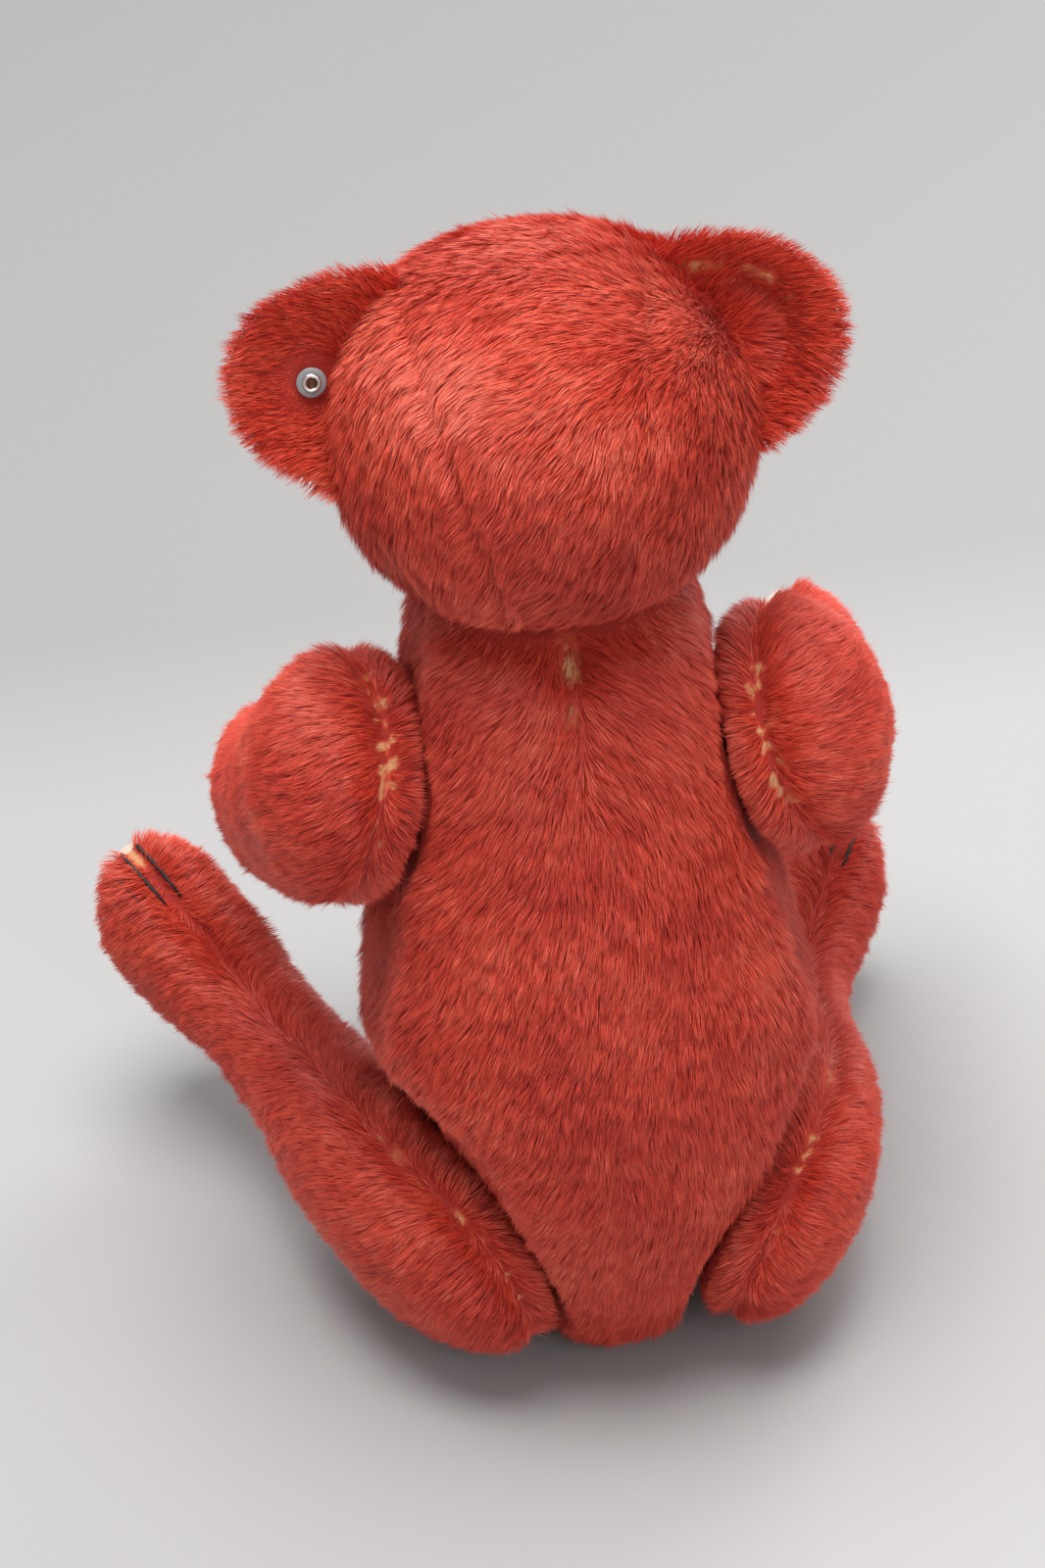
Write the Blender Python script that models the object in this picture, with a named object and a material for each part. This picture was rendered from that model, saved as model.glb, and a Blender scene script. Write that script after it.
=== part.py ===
"""Jointed teddy bear, seated: head, torso, two arms and two legs joined by discs and cotter pins.

Metres. The bear faces -Y, its left side is +X, +Z is up, and it sits on z = 0.
"""

import math

import bmesh
import bpy
from mathutils import Matrix, Vector

MM = 0.001

# Driving dimensions, in millimetres
SKIN = 3.0  # pile fabric with its woven backing
FILL_GAP = 1.0  # between a skin and its stuffing
SEAM = 0.5  # between two sewn edges
JOINT_GAP = 0.8  # between the two fabrics of a joint
FACET_TOP = 34.0  # the torso is flat against the leg up to this height over the joint
FACET_FADE = 26.0
PIN_R = 0.8  # radius of the wire of a cotter pin
HOLE_R = 2.3  # hole for a cotter pin
DISC_T = 2.5  # hardboard joint disc
WASHER_T = 1.0
WASHER_R = 9.0
NECK_DISC_R = 16.0
ARM_DISC_R = 13.5
LEG_DISC_R = 15.0
TORSO_H = 208.0
SHOULDER = (37.6, 3.0, 158.5)
SHOULDER_TILT = 11.0  # degrees the shoulder axis leans up
SHOULDER_SPLAY = 4.0  # degrees each arm opens outward
HIP = (30.0, 6.0, 39.5)
LEFT_SPLAY = 23.0  # degrees the leg opens outward
RIGHT_SPLAY = 11.6
LEFT_HIP_LEAN = 18.5  # degrees the hip axis leans down
RIGHT_HIP_LEAN = 25.0
LEFT_LEG_DROP = -4.0  # degrees the seated leg falls towards the foot
RIGHT_LEG_DROP = 9.0
LEFT_ARM_RAISE = -38.0  # degrees from level, pointing forward
RIGHT_ARM_RAISE = -31.0
EYE_R = 5.4

# Torso: height, half width, half depth, centre in Y
TORSO = (
    (0.0, 0.0, 0.0, 0.0),
    (0.0, 10.0, 12.0, 0.0),
    (3.2, 16.5, 19.5, 0.0),
    (10.5, 24.0, 28.0, 0.0),
    (22.0, 31.5, 36.0, 0.0),
    (37.0, 39.5, 43.5, 0.0),
    (55.0, 47.0, 50.0, 0.0),
    (74.0, 52.0, 54.0, 0.5),
    (95.0, 53.5, 54.5, 1.0),
    (117.0, 51.5, 52.0, 1.5),
    (139.0, 47.5, 47.5, 2.0),
    (161.0, 43.0, 42.5, 1.5),
    (181.0, 39.0, 38.0, 1.0),
    (195.0, 35.0, 34.5, 0.0),
    (203.5, 30.0, 30.0, 0.0),
    (208.0, 22.5, 22.5, 0.0),
    (208.0, 0.0, 0.0, 0.0),
)

# Head: Y, half width, half height, centre in Z, measured from the neck joint
HEAD = (
    (-81.7, 0.0, 0.0, 20.2),
    (-79.0, 8.5, 7.7, 20.2),
    (-71.8, 13.9, 12.4, 20.2),
    (-61.0, 17.5, 15.9, 20.6),
    (-49.4, 22.0, 21.4, 23.2),
    (-37.7, 29.6, 29.2, 27.8),
    (-25.1, 38.6, 36.4, 32.6),
    (-9.0, 44.4, 40.7, 34.8),
    (9.0, 44.9, 41.2, 35.1),
    (25.1, 38.1, 36.4, 34.8),
    (37.7, 25.1, 25.7, 34.3),
    (44.0, 11.7, 12.0, 34.3),
    (45.7, 0.0, 0.0, 34.3),
)
HEAD_SQUARE = 2.2  # 2 gives round sections, more gives flatter sides
HEAD_HEART = (0.0, -7.2, 34.4)  # every head panel is laid out from here

# Gusset: degrees round the head from the nose over the crown, half width
GUSSET = (
    (-9.0, 1.4),
    (0.0, 6.2),
    (12.0, 8.6),
    (28.0, 11.5),
    (45.0, 18.1),
    (66.0, 26.7),
    (90.0, 31.5),
    (122.0, 30.6),
    (150.0, 25.8),
    (180.0, 19.1),
    (208.0, 12.4),
    (226.0, 9.5),
    (240.0, 4.8),
    (248.0, 1.4),
)
HEAD_TURNS = (
    -112.0, -94.0, -76.0, -60.0, -46.0, -34.0, -24.0, -16.0, -9.0, -2.0, 6.0, 18.0,
    34.0, 52.0, 71.0, 90.0, 109.0, 128.0, 148.0, 168.0, 188.0, 207.0, 224.0, 238.0,
)
HEAD_STEPS = (0.0, 0.05, 0.12, 0.22, 0.36, 0.54, 0.76, 1.0)

# Arm and leg: distance along the limb, centre height, half height, half thickness, centre in X
ARM = (
    (-29.6, 0.0, 0.0, 0.0, 8.8),
    (-28.2, 0.0, 8.5, 6.4, 9.3),
    (-22.4, 0.0, 17.9, 12.7, 10.3),
    (-12.2, 0.0, 24.9, 17.6, 12.2),
    (2.0, 0.0, 27.7, 19.6, 13.7),
    (20.4, 0.0, 26.3, 19.1, 13.7),
    (44.9, 0.0, 22.6, 17.6, 13.7),
    (69.4, 1.0, 19.7, 16.2, 13.7),
    (87.7, 3.5, 18.3, 15.2, 13.7),
    (106.1, 7.5, 17.4, 13.7, 13.2),
    (122.4, 12.5, 15.5, 11.8, 12.2),
    (133.6, 16.5, 11.8, 8.8, 11.3),
    (139.7, 19.0, 6.6, 4.9, 10.8),
    (141.8, 20.0, 0.0, 0.0, 10.8),
)
LEG = (
    (-35.7, 0.0, 0.0, 0.0, 8.9),
    (-34.3, 0.0, 8.6, 5.6, 9.3),
    (-28.1, 0.0, 19.3, 12.0, 10.1),
    (-15.3, 0.0, 27.5, 16.8, 12.2),
    (3.1, 0.0, 31.0, 19.2, 13.7),
    (24.5, 0.0, 29.1, 18.7, 14.2),
    (47.4, 0.0, 24.0, 16.6, 13.7),
    (69.4, 0.5, 18.7, 13.8, 13.3),
    (86.9, 2.2, 17.0, 13.0, 13.0),
    (101.2, 5.0, 19.9, 14.1, 13.3),
    (113.1, 8.1, 25.0, 15.5, 14.2),
    (122.0, 10.8, 28.4, 16.2, 15.0),
    (128.5, 11.7, 28.2, 15.5, 15.4),
    (133.4, 11.7, 24.8, 12.6, 15.2),
    (136.6, 11.7, 15.4, 7.6, 14.5),
    (137.3, 11.7, 0.0, 0.0, 14.5),
)
ARM_PAD_FROM = 8.0  # station where the paw pad meets the inner panel
LEG_PAD_FROM = 12.6  # station where the sole meets the two leg panels

COLOURS = {
    "mohair_red": ((0.52, 0.032, 0.026), 0.9, 0.0),
    "felt_cream": ((0.68, 0.52, 0.43), 0.95, 0.0),
    "stuffing": ((0.62, 0.52, 0.36), 1.0, 0.0),
    "hardboard": ((0.26, 0.14, 0.07), 0.8, 0.0),
    "steel": ((0.55, 0.55, 0.56), 0.35, 1.0),
    "glass_eye": ((0.01, 0.008, 0.006), 0.08, 0.0),
    "thread_black": ((0.012, 0.011, 0.012), 0.7, 0.0),
    "button_metal": ((0.72, 0.70, 0.66), 0.3, 1.0),
    "washer_plastic": ((0.55, 0.56, 0.57), 0.35, 0.0),
}


# ---------------------------------------------------------------- curves and surfaces


def slopes(xs, ys):
    """Monotone cubic slopes through the points."""
    n = len(xs)
    step = [(ys[i + 1] - ys[i]) / max(xs[i + 1] - xs[i], 1e-9) for i in range(n - 1)]
    out = [step[0]]
    for i in range(1, n - 1):
        a, b = step[i - 1], step[i]
        out.append(0.0 if a * b <= 0 else 2 * a * b / (a + b))
    return out + [step[-1]]


def curve(xs, ys):
    """A smooth function through the points."""
    m = slopes(xs, ys)

    def value(x):
        x = min(max(x, xs[0]), xs[-1])
        i = 0
        while i < len(xs) - 2 and x > xs[i + 1]:
            i += 1
        h = max(xs[i + 1] - xs[i], 1e-9)
        t = (x - xs[i]) / h
        a = ys[i] * (1 + 2 * t) * (1 - t) ** 2 + m[i] * h * t * (1 - t) ** 2
        b = ys[i + 1] * t * t * (3 - 2 * t) - m[i + 1] * h * t * t * (1 - t)
        return a + b

    return value


def station_curves(table):
    """One smooth function of the station number for each column."""
    numbers = [float(i) for i in range(len(table))]
    return [curve(numbers, [row[c] for row in table]) for c in range(len(table[0]))]


def basis(forward, outward):
    """Outward, forward and up, square to each other. Outward is kept."""
    ex = outward.normalized()
    ey = (forward - ex * forward.dot(ex)).normalized()
    return ex, ey, ey.cross(ex)


def turned(v, axis, degrees):
    return Matrix.Rotation(math.radians(degrees), 3, axis) @ v


def mirrored(p, side):
    return Vector((p.x * side, p.y, p.z))


def leaning(splay, rise):
    """A direction to the left, turned back by splay and up by rise, in degrees."""
    a, b = math.radians(splay), math.radians(rise)
    return Vector((math.cos(a) * math.cos(b), math.sin(a) * math.cos(b), math.sin(b)))


def leg_forward(side):
    a, b = math.radians(SPLAY[side]), math.radians(DROP[side])
    return Vector((math.sin(a) * math.cos(b), -math.cos(a) * math.cos(b), -math.sin(b)))


SHOULDER_AXIS = leaning(SHOULDER_SPLAY, SHOULDER_TILT)
SPLAY = {1: LEFT_SPLAY, -1: RIGHT_SPLAY}
DROP = {1: LEFT_LEG_DROP, -1: RIGHT_LEG_DROP}
HIP_LEAN = {1: LEFT_HIP_LEAN, -1: RIGHT_HIP_LEAN}
HIP_AXIS = {side: leaning(SPLAY[side], -HIP_LEAN[side]) for side in (1, -1)}

torso_at = station_curves(TORSO)
arm_at = station_curves(ARM)
leg_at = station_curves(LEG)
head_ys = [row[0] for row in HEAD]
head_width2 = curve(head_ys, [row[1] ** 2 for row in HEAD])
head_height2 = curve(head_ys, [row[2] ** 2 for row in HEAD])
head_centre = curve(head_ys, [row[3] for row in HEAD])
gusset_half = curve([g[0] for g in GUSSET], [g[1] for g in GUSSET])


def torso_point(station, degrees):
    """The torso's surface, flattened where each limb is pressed against it."""
    z, half_x, half_y, yc = [f(station) for f in torso_at]
    a = math.radians(degrees)
    p = Vector((half_x * math.cos(a), yc + half_y * math.sin(a), z))
    for side in (1, -1):
        for centre, axis in ((SHOULDER, SHOULDER_AXIS), (HIP, HIP_AXIS[side])):
            n = mirrored(axis, side)
            away = p - mirrored(Vector(centre), side)
            out = away.dot(n) + JOINT_GAP
            if out > 0 and centre is HIP:
                above = min(max((away.z - FACET_TOP) / FACET_FADE, 0.0), 1.0)
                out *= 1.0 - above * above * (3.0 - 2.0 * above)
            if out > 0:
                p -= n * out
    return p


def torso_core(station, degrees):
    return Vector((0.0, 0.0, min(max(torso_at[0](station), 30.0), 165.0)))


def head_ray(turn, lean):
    a = math.radians(turn)
    w = math.radians(lean)
    return Vector((math.sin(w), -math.cos(w) * math.cos(a), math.cos(w) * math.sin(a)))


def inside_head(p):
    if not HEAD[0][0] < p.y < HEAD[-1][0] or p.z < 0.0:
        return False
    wide = max(head_width2(p.y), 1e-6) ** 0.5
    high = max(head_height2(p.y), 1e-6) ** 0.5
    across = abs(p.x) / wide
    up = abs(p.z - head_centre(p.y)) / high
    return across**HEAD_SQUARE + up**HEAD_SQUARE < 1.0


def head_point(turn, lean):
    """Where a ray from the head's heart leaves the head. Turn runs from the nose over the crown."""
    heart = Vector(HEAD_HEART)
    ray = head_ray(turn, lean)
    near, far = 5.0, 120.0
    for _ in range(34):
        mid = (near + far) / 2
        if inside_head(heart + ray * mid):
            near = mid
        else:
            far = mid
    return heart + ray * near


def head_core(turn, lean):
    return Vector(HEAD_HEART)


def gusset_edge(turn):
    """How far to the side, in degrees, the gusset's edge lies. None where there is no gusset."""
    if turn < GUSSET[0][0] - 0.01 or turn > GUSSET[-1][0] + 0.01:
        return 0.0
    reach = (head_point(turn, 0.0) - Vector(HEAD_HEART)).length
    return math.degrees(math.atan2(gusset_half(turn), reach))


def seam_shift(turn):
    reach = (head_point(turn, 0.0) - Vector(HEAD_HEART)).length
    return math.degrees(math.atan2(SEAM / 2, reach))


def limb_point(at):
    """A limb's surface in its own frame: x outward from the joint plane, y along it, z up."""

    def point(station, degrees):
        y, zc, half_z, half_x, middle_x = [f(station) for f in at]
        a = math.radians(degrees)
        x = middle_x + half_x * math.cos(a)
        return Vector((max(x, 0.0), y, zc + half_z * math.sin(a)))

    return point


def limb_core(at, low, high):
    def core(station, degrees):
        y = at[0](station)
        return Vector((15.0, min(max(y, low), high), at[1](station)))

    return core


# ---------------------------------------------------------------- solids

MATERIALS = {}


def material(slot):
    if slot not in MATERIALS:
        colour, rough, metal = COLOURS[slot]
        mat = bpy.data.materials.new(slot)
        mat.use_nodes = True
        shader = mat.node_tree.nodes["Principled BSDF"]
        shader.inputs["Base Color"].default_value = (*colour, 1.0)
        shader.inputs["Roughness"].default_value = rough
        shader.inputs["Metallic"].default_value = metal
        mat.diffuse_color = (*colour, 1.0)
        MATERIALS[slot] = mat
    return MATERIALS[slot]


def solid(name, verts, faces, slot, place=None):
    """A closed mesh object. place maps a point in millimetres to its spot on the bear."""
    mesh = bpy.data.meshes.new(name)
    points = [place(v) if place else v for v in verts]
    mesh.from_pydata([tuple(p * MM) for p in points], [], faces)
    bm = bmesh.new()
    bm.from_mesh(mesh)
    bmesh.ops.remove_doubles(bm, verts=bm.verts, dist=1e-7)
    bmesh.ops.recalc_face_normals(bm, faces=bm.faces)
    if bm.calc_volume(signed=True) < 0:
        bmesh.ops.reverse_faces(bm, faces=bm.faces)
    bm.to_mesh(mesh)
    bm.free()
    obj = bpy.data.objects.new(name, mesh)
    bpy.context.scene.collection.objects.link(obj)
    if slot:
        mesh.materials.append(material(slot))
    return obj


def cut(obj, cutter):
    mod = obj.modifiers.new("cut_" + cutter.name, "BOOLEAN")
    mod.operation = "DIFFERENCE"
    mod.solver = "EXACT"
    mod.object = cutter
    cutter.hide_render = True
    cutter.display_type = "WIRE"


def outward_normal(point, core, u, v, hu, hv):
    p = point(u, v)
    out = (p - core(u, v)).normalized()
    n = (point(u + hu, v) - point(u - hu, v)).cross(point(u, v + hv) - point(u, v - hv))
    if n.length < 1e-7:
        return out
    n.normalize()
    if n.dot(out) < 0:
        n = -n
    return n if n.dot(out) > 0.15 else out


def grid(point, core, us, vs, inset, round_v, step, fix=None):
    """Rows of points pushed inward by inset. A row that shrinks to one spot gives one point."""
    rows = []
    for i, u in enumerate(us):
        ring = us[i] if not isinstance(vs, dict) else u
        steps = vs[ring] if isinstance(vs, dict) else vs
        flat = [point(u, v) for v in steps]
        pole = max((p - flat[0]).length for p in flat) < 1e-4
        row = []
        for v in steps[:1] if pole else steps:
            p = point(u, v)
            if pole:
                inner_row = us[i + 1] if i + 1 < len(us) else us[i - 1]
                ring_points = [point(inner_row, 30.0 * w) for w in range(12)]
                middle = sum(ring_points, Vector()) / len(ring_points)
                n = p - middle
                n = n.normalized() if n.length > 0.05 else (p - core(u, v)).normalized()
                if (p - core(u, v)).dot(n) < 0:
                    n = -n
            else:
                n = outward_normal(point, core, u, v, *step)
            p = p - n * inset
            row.append(fix(p) if fix else p)
        rows.append(row)
    return rows


def grid_faces(rows, starts, round_v):
    """Triangles between the rows, each square split along its outer diagonal."""
    count = sum(len(row) for row in rows)
    centre = sum((sum(row, Vector()) for row in rows), Vector()) / count
    faces = []
    for i in range(len(rows) - 1):
        a, b = rows[i], rows[i + 1]
        n = max(len(a), len(b))
        for j in range(n if round_v else n - 1):
            k = (j + 1) % n
            aj, ak = (0, 0) if len(a) == 1 else (j, k)
            bj, bk = (0, 0) if len(b) == 1 else (j, k)
            corner = [a[aj], a[ak], b[bk], b[bj]]
            index = [starts[i] + aj, starts[i] + ak, starts[i + 1] + bk, starts[i + 1] + bj]
            middle = sum(corner, Vector()) / 4
            normal = (corner[2] - corner[0]).cross(corner[3] - corner[1])
            if normal.dot(middle - centre) < 0:
                normal = -normal
            if (corner[0] + corner[2] - corner[1] - corner[3]).dot(normal) >= 0:
                split = ((0, 1, 2), (0, 2, 3))
            else:
                split = ((0, 1, 3), (1, 2, 3))
            for triple in split:
                face = [index[t] for t in triple]
                if len(set(face)) == 3:
                    faces.append(face)
    return faces


def rim_faces(out_faces, verts, base):
    """Two triangles for each open edge, split the same way on both sides of a seam."""
    edges = {}
    for face in out_faces:
        for a, b in zip(face, face[1:] + face[:1]):
            edges[(a, b)] = True
    faces = []
    for a, b in edges:
        if (b, a) in edges:
            continue
        p, q = verts[a], verts[b]
        if (round(p.y, 2), round(p.z, 2)) < (round(q.y, 2), round(q.z, 2)):
            faces += [[b, a, b + base], [a, a + base, b + base]]
        else:
            faces += [[b, a, a + base], [b, a + base, b + base]]
    return faces


def flatten(rows, base):
    verts, starts = [], []
    for row in rows:
        starts.append(base + len(verts))
        verts += row
    return verts, starts


def shell(
    name, point, core, us, vs, slot, outer=0.0, inner=SKIN, round_v=False,
    step=(0.02, 1.0), fix=None, place=None,
):
    """A sewn panel: a patch of a surface with a thickness, closed by rims round its open edges."""
    out_rows = grid(point, core, us, vs, outer, round_v, step, fix)
    in_rows = grid(point, core, us, vs, inner, round_v, step, fix)
    out_verts, out_starts = flatten(out_rows, 0)
    in_verts, in_starts = flatten(in_rows, len(out_verts))
    out_faces = grid_faces(out_rows, out_starts, round_v)
    in_faces = grid_faces(in_rows, in_starts, round_v)
    rims = rim_faces(out_faces, out_verts, len(out_verts))
    faces = out_faces + [f[::-1] for f in in_faces] + rims
    return solid(name, out_verts + in_verts, faces, slot, place)


def blob(name, point, core, us, vs, slot, inset, step=(0.02, 1.0), place=None):
    """A closed form all round, pushed inward by inset."""
    rows = grid(point, core, us, vs, inset, True, step)
    verts, starts = flatten(rows, 0)
    return solid(name, verts, grid_faces(rows, starts, True), slot, place)


def lathe(name, profile, sides, slot, place, phase=0.0):
    """A profile of (along, radius) points turned about the local X axis. It may close on itself."""
    verts, starts = [], []
    ring_form = profile[0] == profile[-1]
    stations = profile[:-1] if ring_form else profile
    for along, radius in stations:
        starts.append(len(verts))
        if radius < 1e-6:
            verts.append(Vector((along, 0.0, 0.0)))
        else:
            for j in range(sides):
                a = 2 * math.pi * (j + phase) / sides
                verts.append(Vector((along, radius * math.cos(a), radius * math.sin(a))))
    faces = []
    count = len(stations)
    for i in range(count if ring_form else count - 1):
        k = (i + 1) % count
        one = stations[i][1] < 1e-6
        two = stations[k][1] < 1e-6
        for j in range(sides):
            m = (j + 1) % sides
            face = [starts[i] + (0 if one else j), starts[k] + (0 if two else j)]
            face += [starts[k] + (0 if two else m), starts[i] + (0 if one else m)]
            clean = []
            for index in face:
                if index not in clean:
                    clean.append(index)
            if len(clean) > 2:
                faces.append(clean)
    return solid(name, verts, faces, slot, place)


def ring_profile(start, end, inner, outer):
    return [(start, inner), (start, outer), (end, outer), (end, inner), (start, inner)]


def tube(name, path, radius, sides, slot, place):
    """A round wire along a path, closed at both ends."""
    verts, faces = [], []
    across = None
    for i, p in enumerate(path):
        along = (path[min(i + 1, len(path) - 1)] - path[max(i - 1, 0)]).normalized()
        if across is None:
            guide = Vector((0, 0, 1)) if abs(along.z) < 0.9 else Vector((0, 1, 0))
            across = guide - along * guide.dot(along)
        across = (across - along * across.dot(along)).normalized()
        other = along.cross(across)
        for j in range(sides):
            a = 2 * math.pi * j / sides
            verts.append(p + (across * math.cos(a) + other * math.sin(a)) * radius)
    for i in range(len(path) - 1):
        for j in range(sides):
            m = (j + 1) % sides
            faces.append([i * sides + j, i * sides + m, (i + 1) * sides + m, (i + 1) * sides + j])
    last = (len(path) - 1) * sides
    faces.append(list(range(sides))[::-1])
    faces.append([last + j for j in range(sides)])
    return solid(name, verts, faces, slot, place)


# ---------------------------------------------------------------- joints

SKIN_IN = SKIN + 0.3
DISC_END = SKIN_IN + DISC_T
WASHER_START = DISC_END + 0.3
WASHER_END = WASHER_START + WASHER_T
POCKET_END = WASHER_END + 7.4


def joint_discs(prefix, disc_r, sign, place):
    """A hardboard disc and a steel washer on one side of a joint. sign is +1 in the limb."""
    base = 0.0 if sign > 0 else JOINT_GAP
    disc = ring_profile(sign * (base + SKIN_IN), sign * (base + DISC_END), HOLE_R, disc_r)
    washer = ring_profile(
        sign * (base + WASHER_START), sign * (base + WASHER_END), HOLE_R, WASHER_R
    )
    lathe(prefix + "_disc", disc, 18, "hardboard", place)
    lathe(prefix + "_washer", washer, 14, "steel", place)


def pocket(name, disc_r, sign, place):
    """The hollow in the stuffing that the disc, the washer and the pin's end press into."""
    base = 0.0 if sign > 0 else JOINT_GAP
    profile = [
        (sign * (base + SKIN - 1.5), 0.0),
        (sign * (base + SKIN - 1.5), disc_r + 0.9),
        (sign * (base + WASHER_END + 0.3), disc_r + 0.9),
        (sign * (base + WASHER_END + 0.3), 8.0),
        (sign * (base + POCKET_END), 8.0),
        (sign * (base + POCKET_END), 0.0),
    ]
    return lathe(name, profile, 18, None, place, 0.37)


def hole(name, start, end, place):
    profile = [(start, 0.0), (start, HOLE_R), (end, HOLE_R), (end, 0.0)]
    return lathe(name, profile, 12, None, place, 0.37)


def cotter_pin(name, place):
    """One bent wire: an eye in the limb, two legs through the joint, and their curls in the torso."""
    half = PIN_R + 0.15
    eye = WASHER_END + 1.0 + 2.8
    back = -(JOINT_GAP + WASHER_END + 1.2)
    side = [Vector((eye - 2.6, half, 0.0)), Vector((1.0, half, 0.0)), Vector((back, half, 0.0))]
    for k in range(1, 6):
        a = math.radians(31 * k)
        side.append(Vector((back - 2.3 * math.sin(a), half + 2.3 * (1 - math.cos(a)), 0.0)))
    loop = []
    for k in range(7):
        a = math.radians(-135 + 45 * k)
        loop.append(Vector((eye + 2.4 * math.cos(a), 2.4 * math.sin(a), 0.0)))
    path = [Vector((p.x, -p.y, p.z)) for p in side[::-1]] + loop + side
    tube(name, path, PIN_R, 6, "steel", place)


def frame_place(centre, ex, ey, ez, side):
    """Puts a point of a left-hand frame on the bear, mirrored for the right-hand side."""
    middle = Vector(centre)

    def place(p):
        return mirrored(middle + ex * p.x + ey * p.y + ez * p.z, side)

    return place


# ---------------------------------------------------------------- torso


def torso_joints():
    """Each joint of a limb with the torso: its name, side, centre, axis and disc."""
    for word, side in (("left", 1), ("right", -1)):
        yield f"{word}_shoulder", side, SHOULDER, SHOULDER_AXIS, ARM_DISC_R
        yield f"{word}_hip", side, HIP, HIP_AXIS[side], LEG_DISC_R


def build_torso(neck_place):
    us = [float(i) for i in range(len(TORSO))]
    quarter = 180.0 / 16
    left = [-90.0 + quarter * j for j in range(17)]
    right = [90.0 + quarter * j for j in range(17)]
    edge = SEAM / 2
    panels = {
        1: shell(
            "torso_left_panel", torso_point, torso_core, us, left, "mohair_red",
            fix=lambda p: Vector((max(p.x, edge), p.y, p.z)),
        ),
        -1: shell(
            "torso_right_panel", torso_point, torso_core, us, right, "mohair_red",
            fix=lambda p: Vector((min(p.x, -edge), p.y, p.z)),
        ),
    }
    stuffing = blob(
        "torso_stuffing", torso_point, torso_core, us, left + right[1:-1], "stuffing",
        SKIN + 1.5 * FILL_GAP,
    )
    neck_hole = hole("neck_torso_hole", -8.0, 2.0, neck_place)
    cut(panels[1], neck_hole)
    cut(panels[-1], neck_hole)
    joint_discs("torso_neck", NECK_DISC_R, -1, neck_place)
    cut(stuffing, pocket("neck_torso_pocket", NECK_DISC_R, -1, neck_place))
    for name, side, centre, axis, disc_r in torso_joints():
        ex, ey, ez = basis(Vector((0, -1, 0)), axis)
        place = frame_place(centre, ex, ey, ez, side)
        cut(panels[side], hole(name + "_torso_hole", -8.0, 2.0, place))
        joint_discs("torso_" + name, disc_r, -1, place)
        cut(stuffing, pocket(name + "_torso_pocket", disc_r, -1, place))


# ---------------------------------------------------------------- limbs


def limb_frame(centre, axis, forward):
    ex, ey, ez = basis(forward, axis)
    return lambda side: frame_place(centre, ex, ey, ez, side)


def build_limb(name, kind, place):
    at = arm_at if kind == "arm" else leg_at
    table = ARM if kind == "arm" else LEG
    disc_r = ARM_DISC_R if kind == "arm" else LEG_DISC_R
    point = limb_point(at)
    core = limb_core(at, -8.0, table[-1][0] - 22.0)
    last = float(len(table) - 1)
    half = [-90.0 + 30.0 * j for j in range(7)]
    inner = [90.0 + 30.0 * j for j in range(7)]
    around = [-90.0 + 30.0 * j for j in range(12)]
    if kind == "arm":
        full = [float(i) for i in range(len(table))]
        first = [u for u in full if u < ARM_PAD_FROM - 0.01] + [ARM_PAD_FROM - 0.012]
        rest = [ARM_PAD_FROM + 0.012] + [u for u in full if u > ARM_PAD_FROM + 0.01]
        outer_us = full
        shell(name + "_paw_pad", point, core, rest, inner, "felt_cream", place=place)
    else:
        full = [float(i) for i in range(len(table))]
        first = [u for u in full if u < LEG_PAD_FROM - 0.01] + [LEG_PAD_FROM]
        rest = [LEG_PAD_FROM] + [u for u in full if u > LEG_PAD_FROM + 0.01]
        full = first + rest[1:]
        outer_us = first
        shell(
            name + "_foot_pad", point, core, rest, around, "felt_cream",
            round_v=True, fix=lambda p: Vector((p.x, p.y + SEAM, p.z)), place=place,
        )
    shell(
        name + "_outer_panel", point, core, outer_us, half, "mohair_red",
        fix=lambda p: Vector((p.x + SEAM, p.y, p.z)), place=place,
    )
    panel = shell(name + "_inner_panel", point, core, first, inner, "mohair_red", place=place)
    cut(panel, hole(name + "_hole", -2.0, 8.0, place))
    stuffing = blob(
        name + "_stuffing", point, core, full, around, "stuffing", SKIN + FILL_GAP, place=place
    )
    cut(stuffing, pocket(name + "_pocket", disc_r, 1, place))
    joint_discs(name, disc_r, 1, place)
    cotter_pin(name + "_cotter_pin", place)


def build_claws(name, place):
    """One thread in five stitches over the toe, carried from each stitch to the next."""
    point = limb_point(leg_at)
    core = limb_core(leg_at, -8.0, 100.0)
    path = []
    for k, degrees in enumerate((52.0, 66.0, 80.0, 94.0, 108.0)):
        ends = [12.2, 11.4, 10.6, 9.9]
        for u in ends if k % 2 == 0 else ends[::-1]:
            n = outward_normal(point, core, u, degrees, 0.02, 1.0)
            path.append(point(u, degrees) + n * 1.25 + Vector((SEAM, 0, 0)))
    tube(name, path, 0.75, 5, "thread_black", place)


# ---------------------------------------------------------------- head


def side_leans(turn):
    edge = gusset_edge(turn) + seam_shift(turn)
    return [edge + (90.0 - edge) * t for t in HEAD_STEPS]


def gusset_turns():
    inside = [t for t in HEAD_TURNS if GUSSET[0][0] - 0.01 <= t <= GUSSET[-1][0] - 0.5]
    return inside


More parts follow.
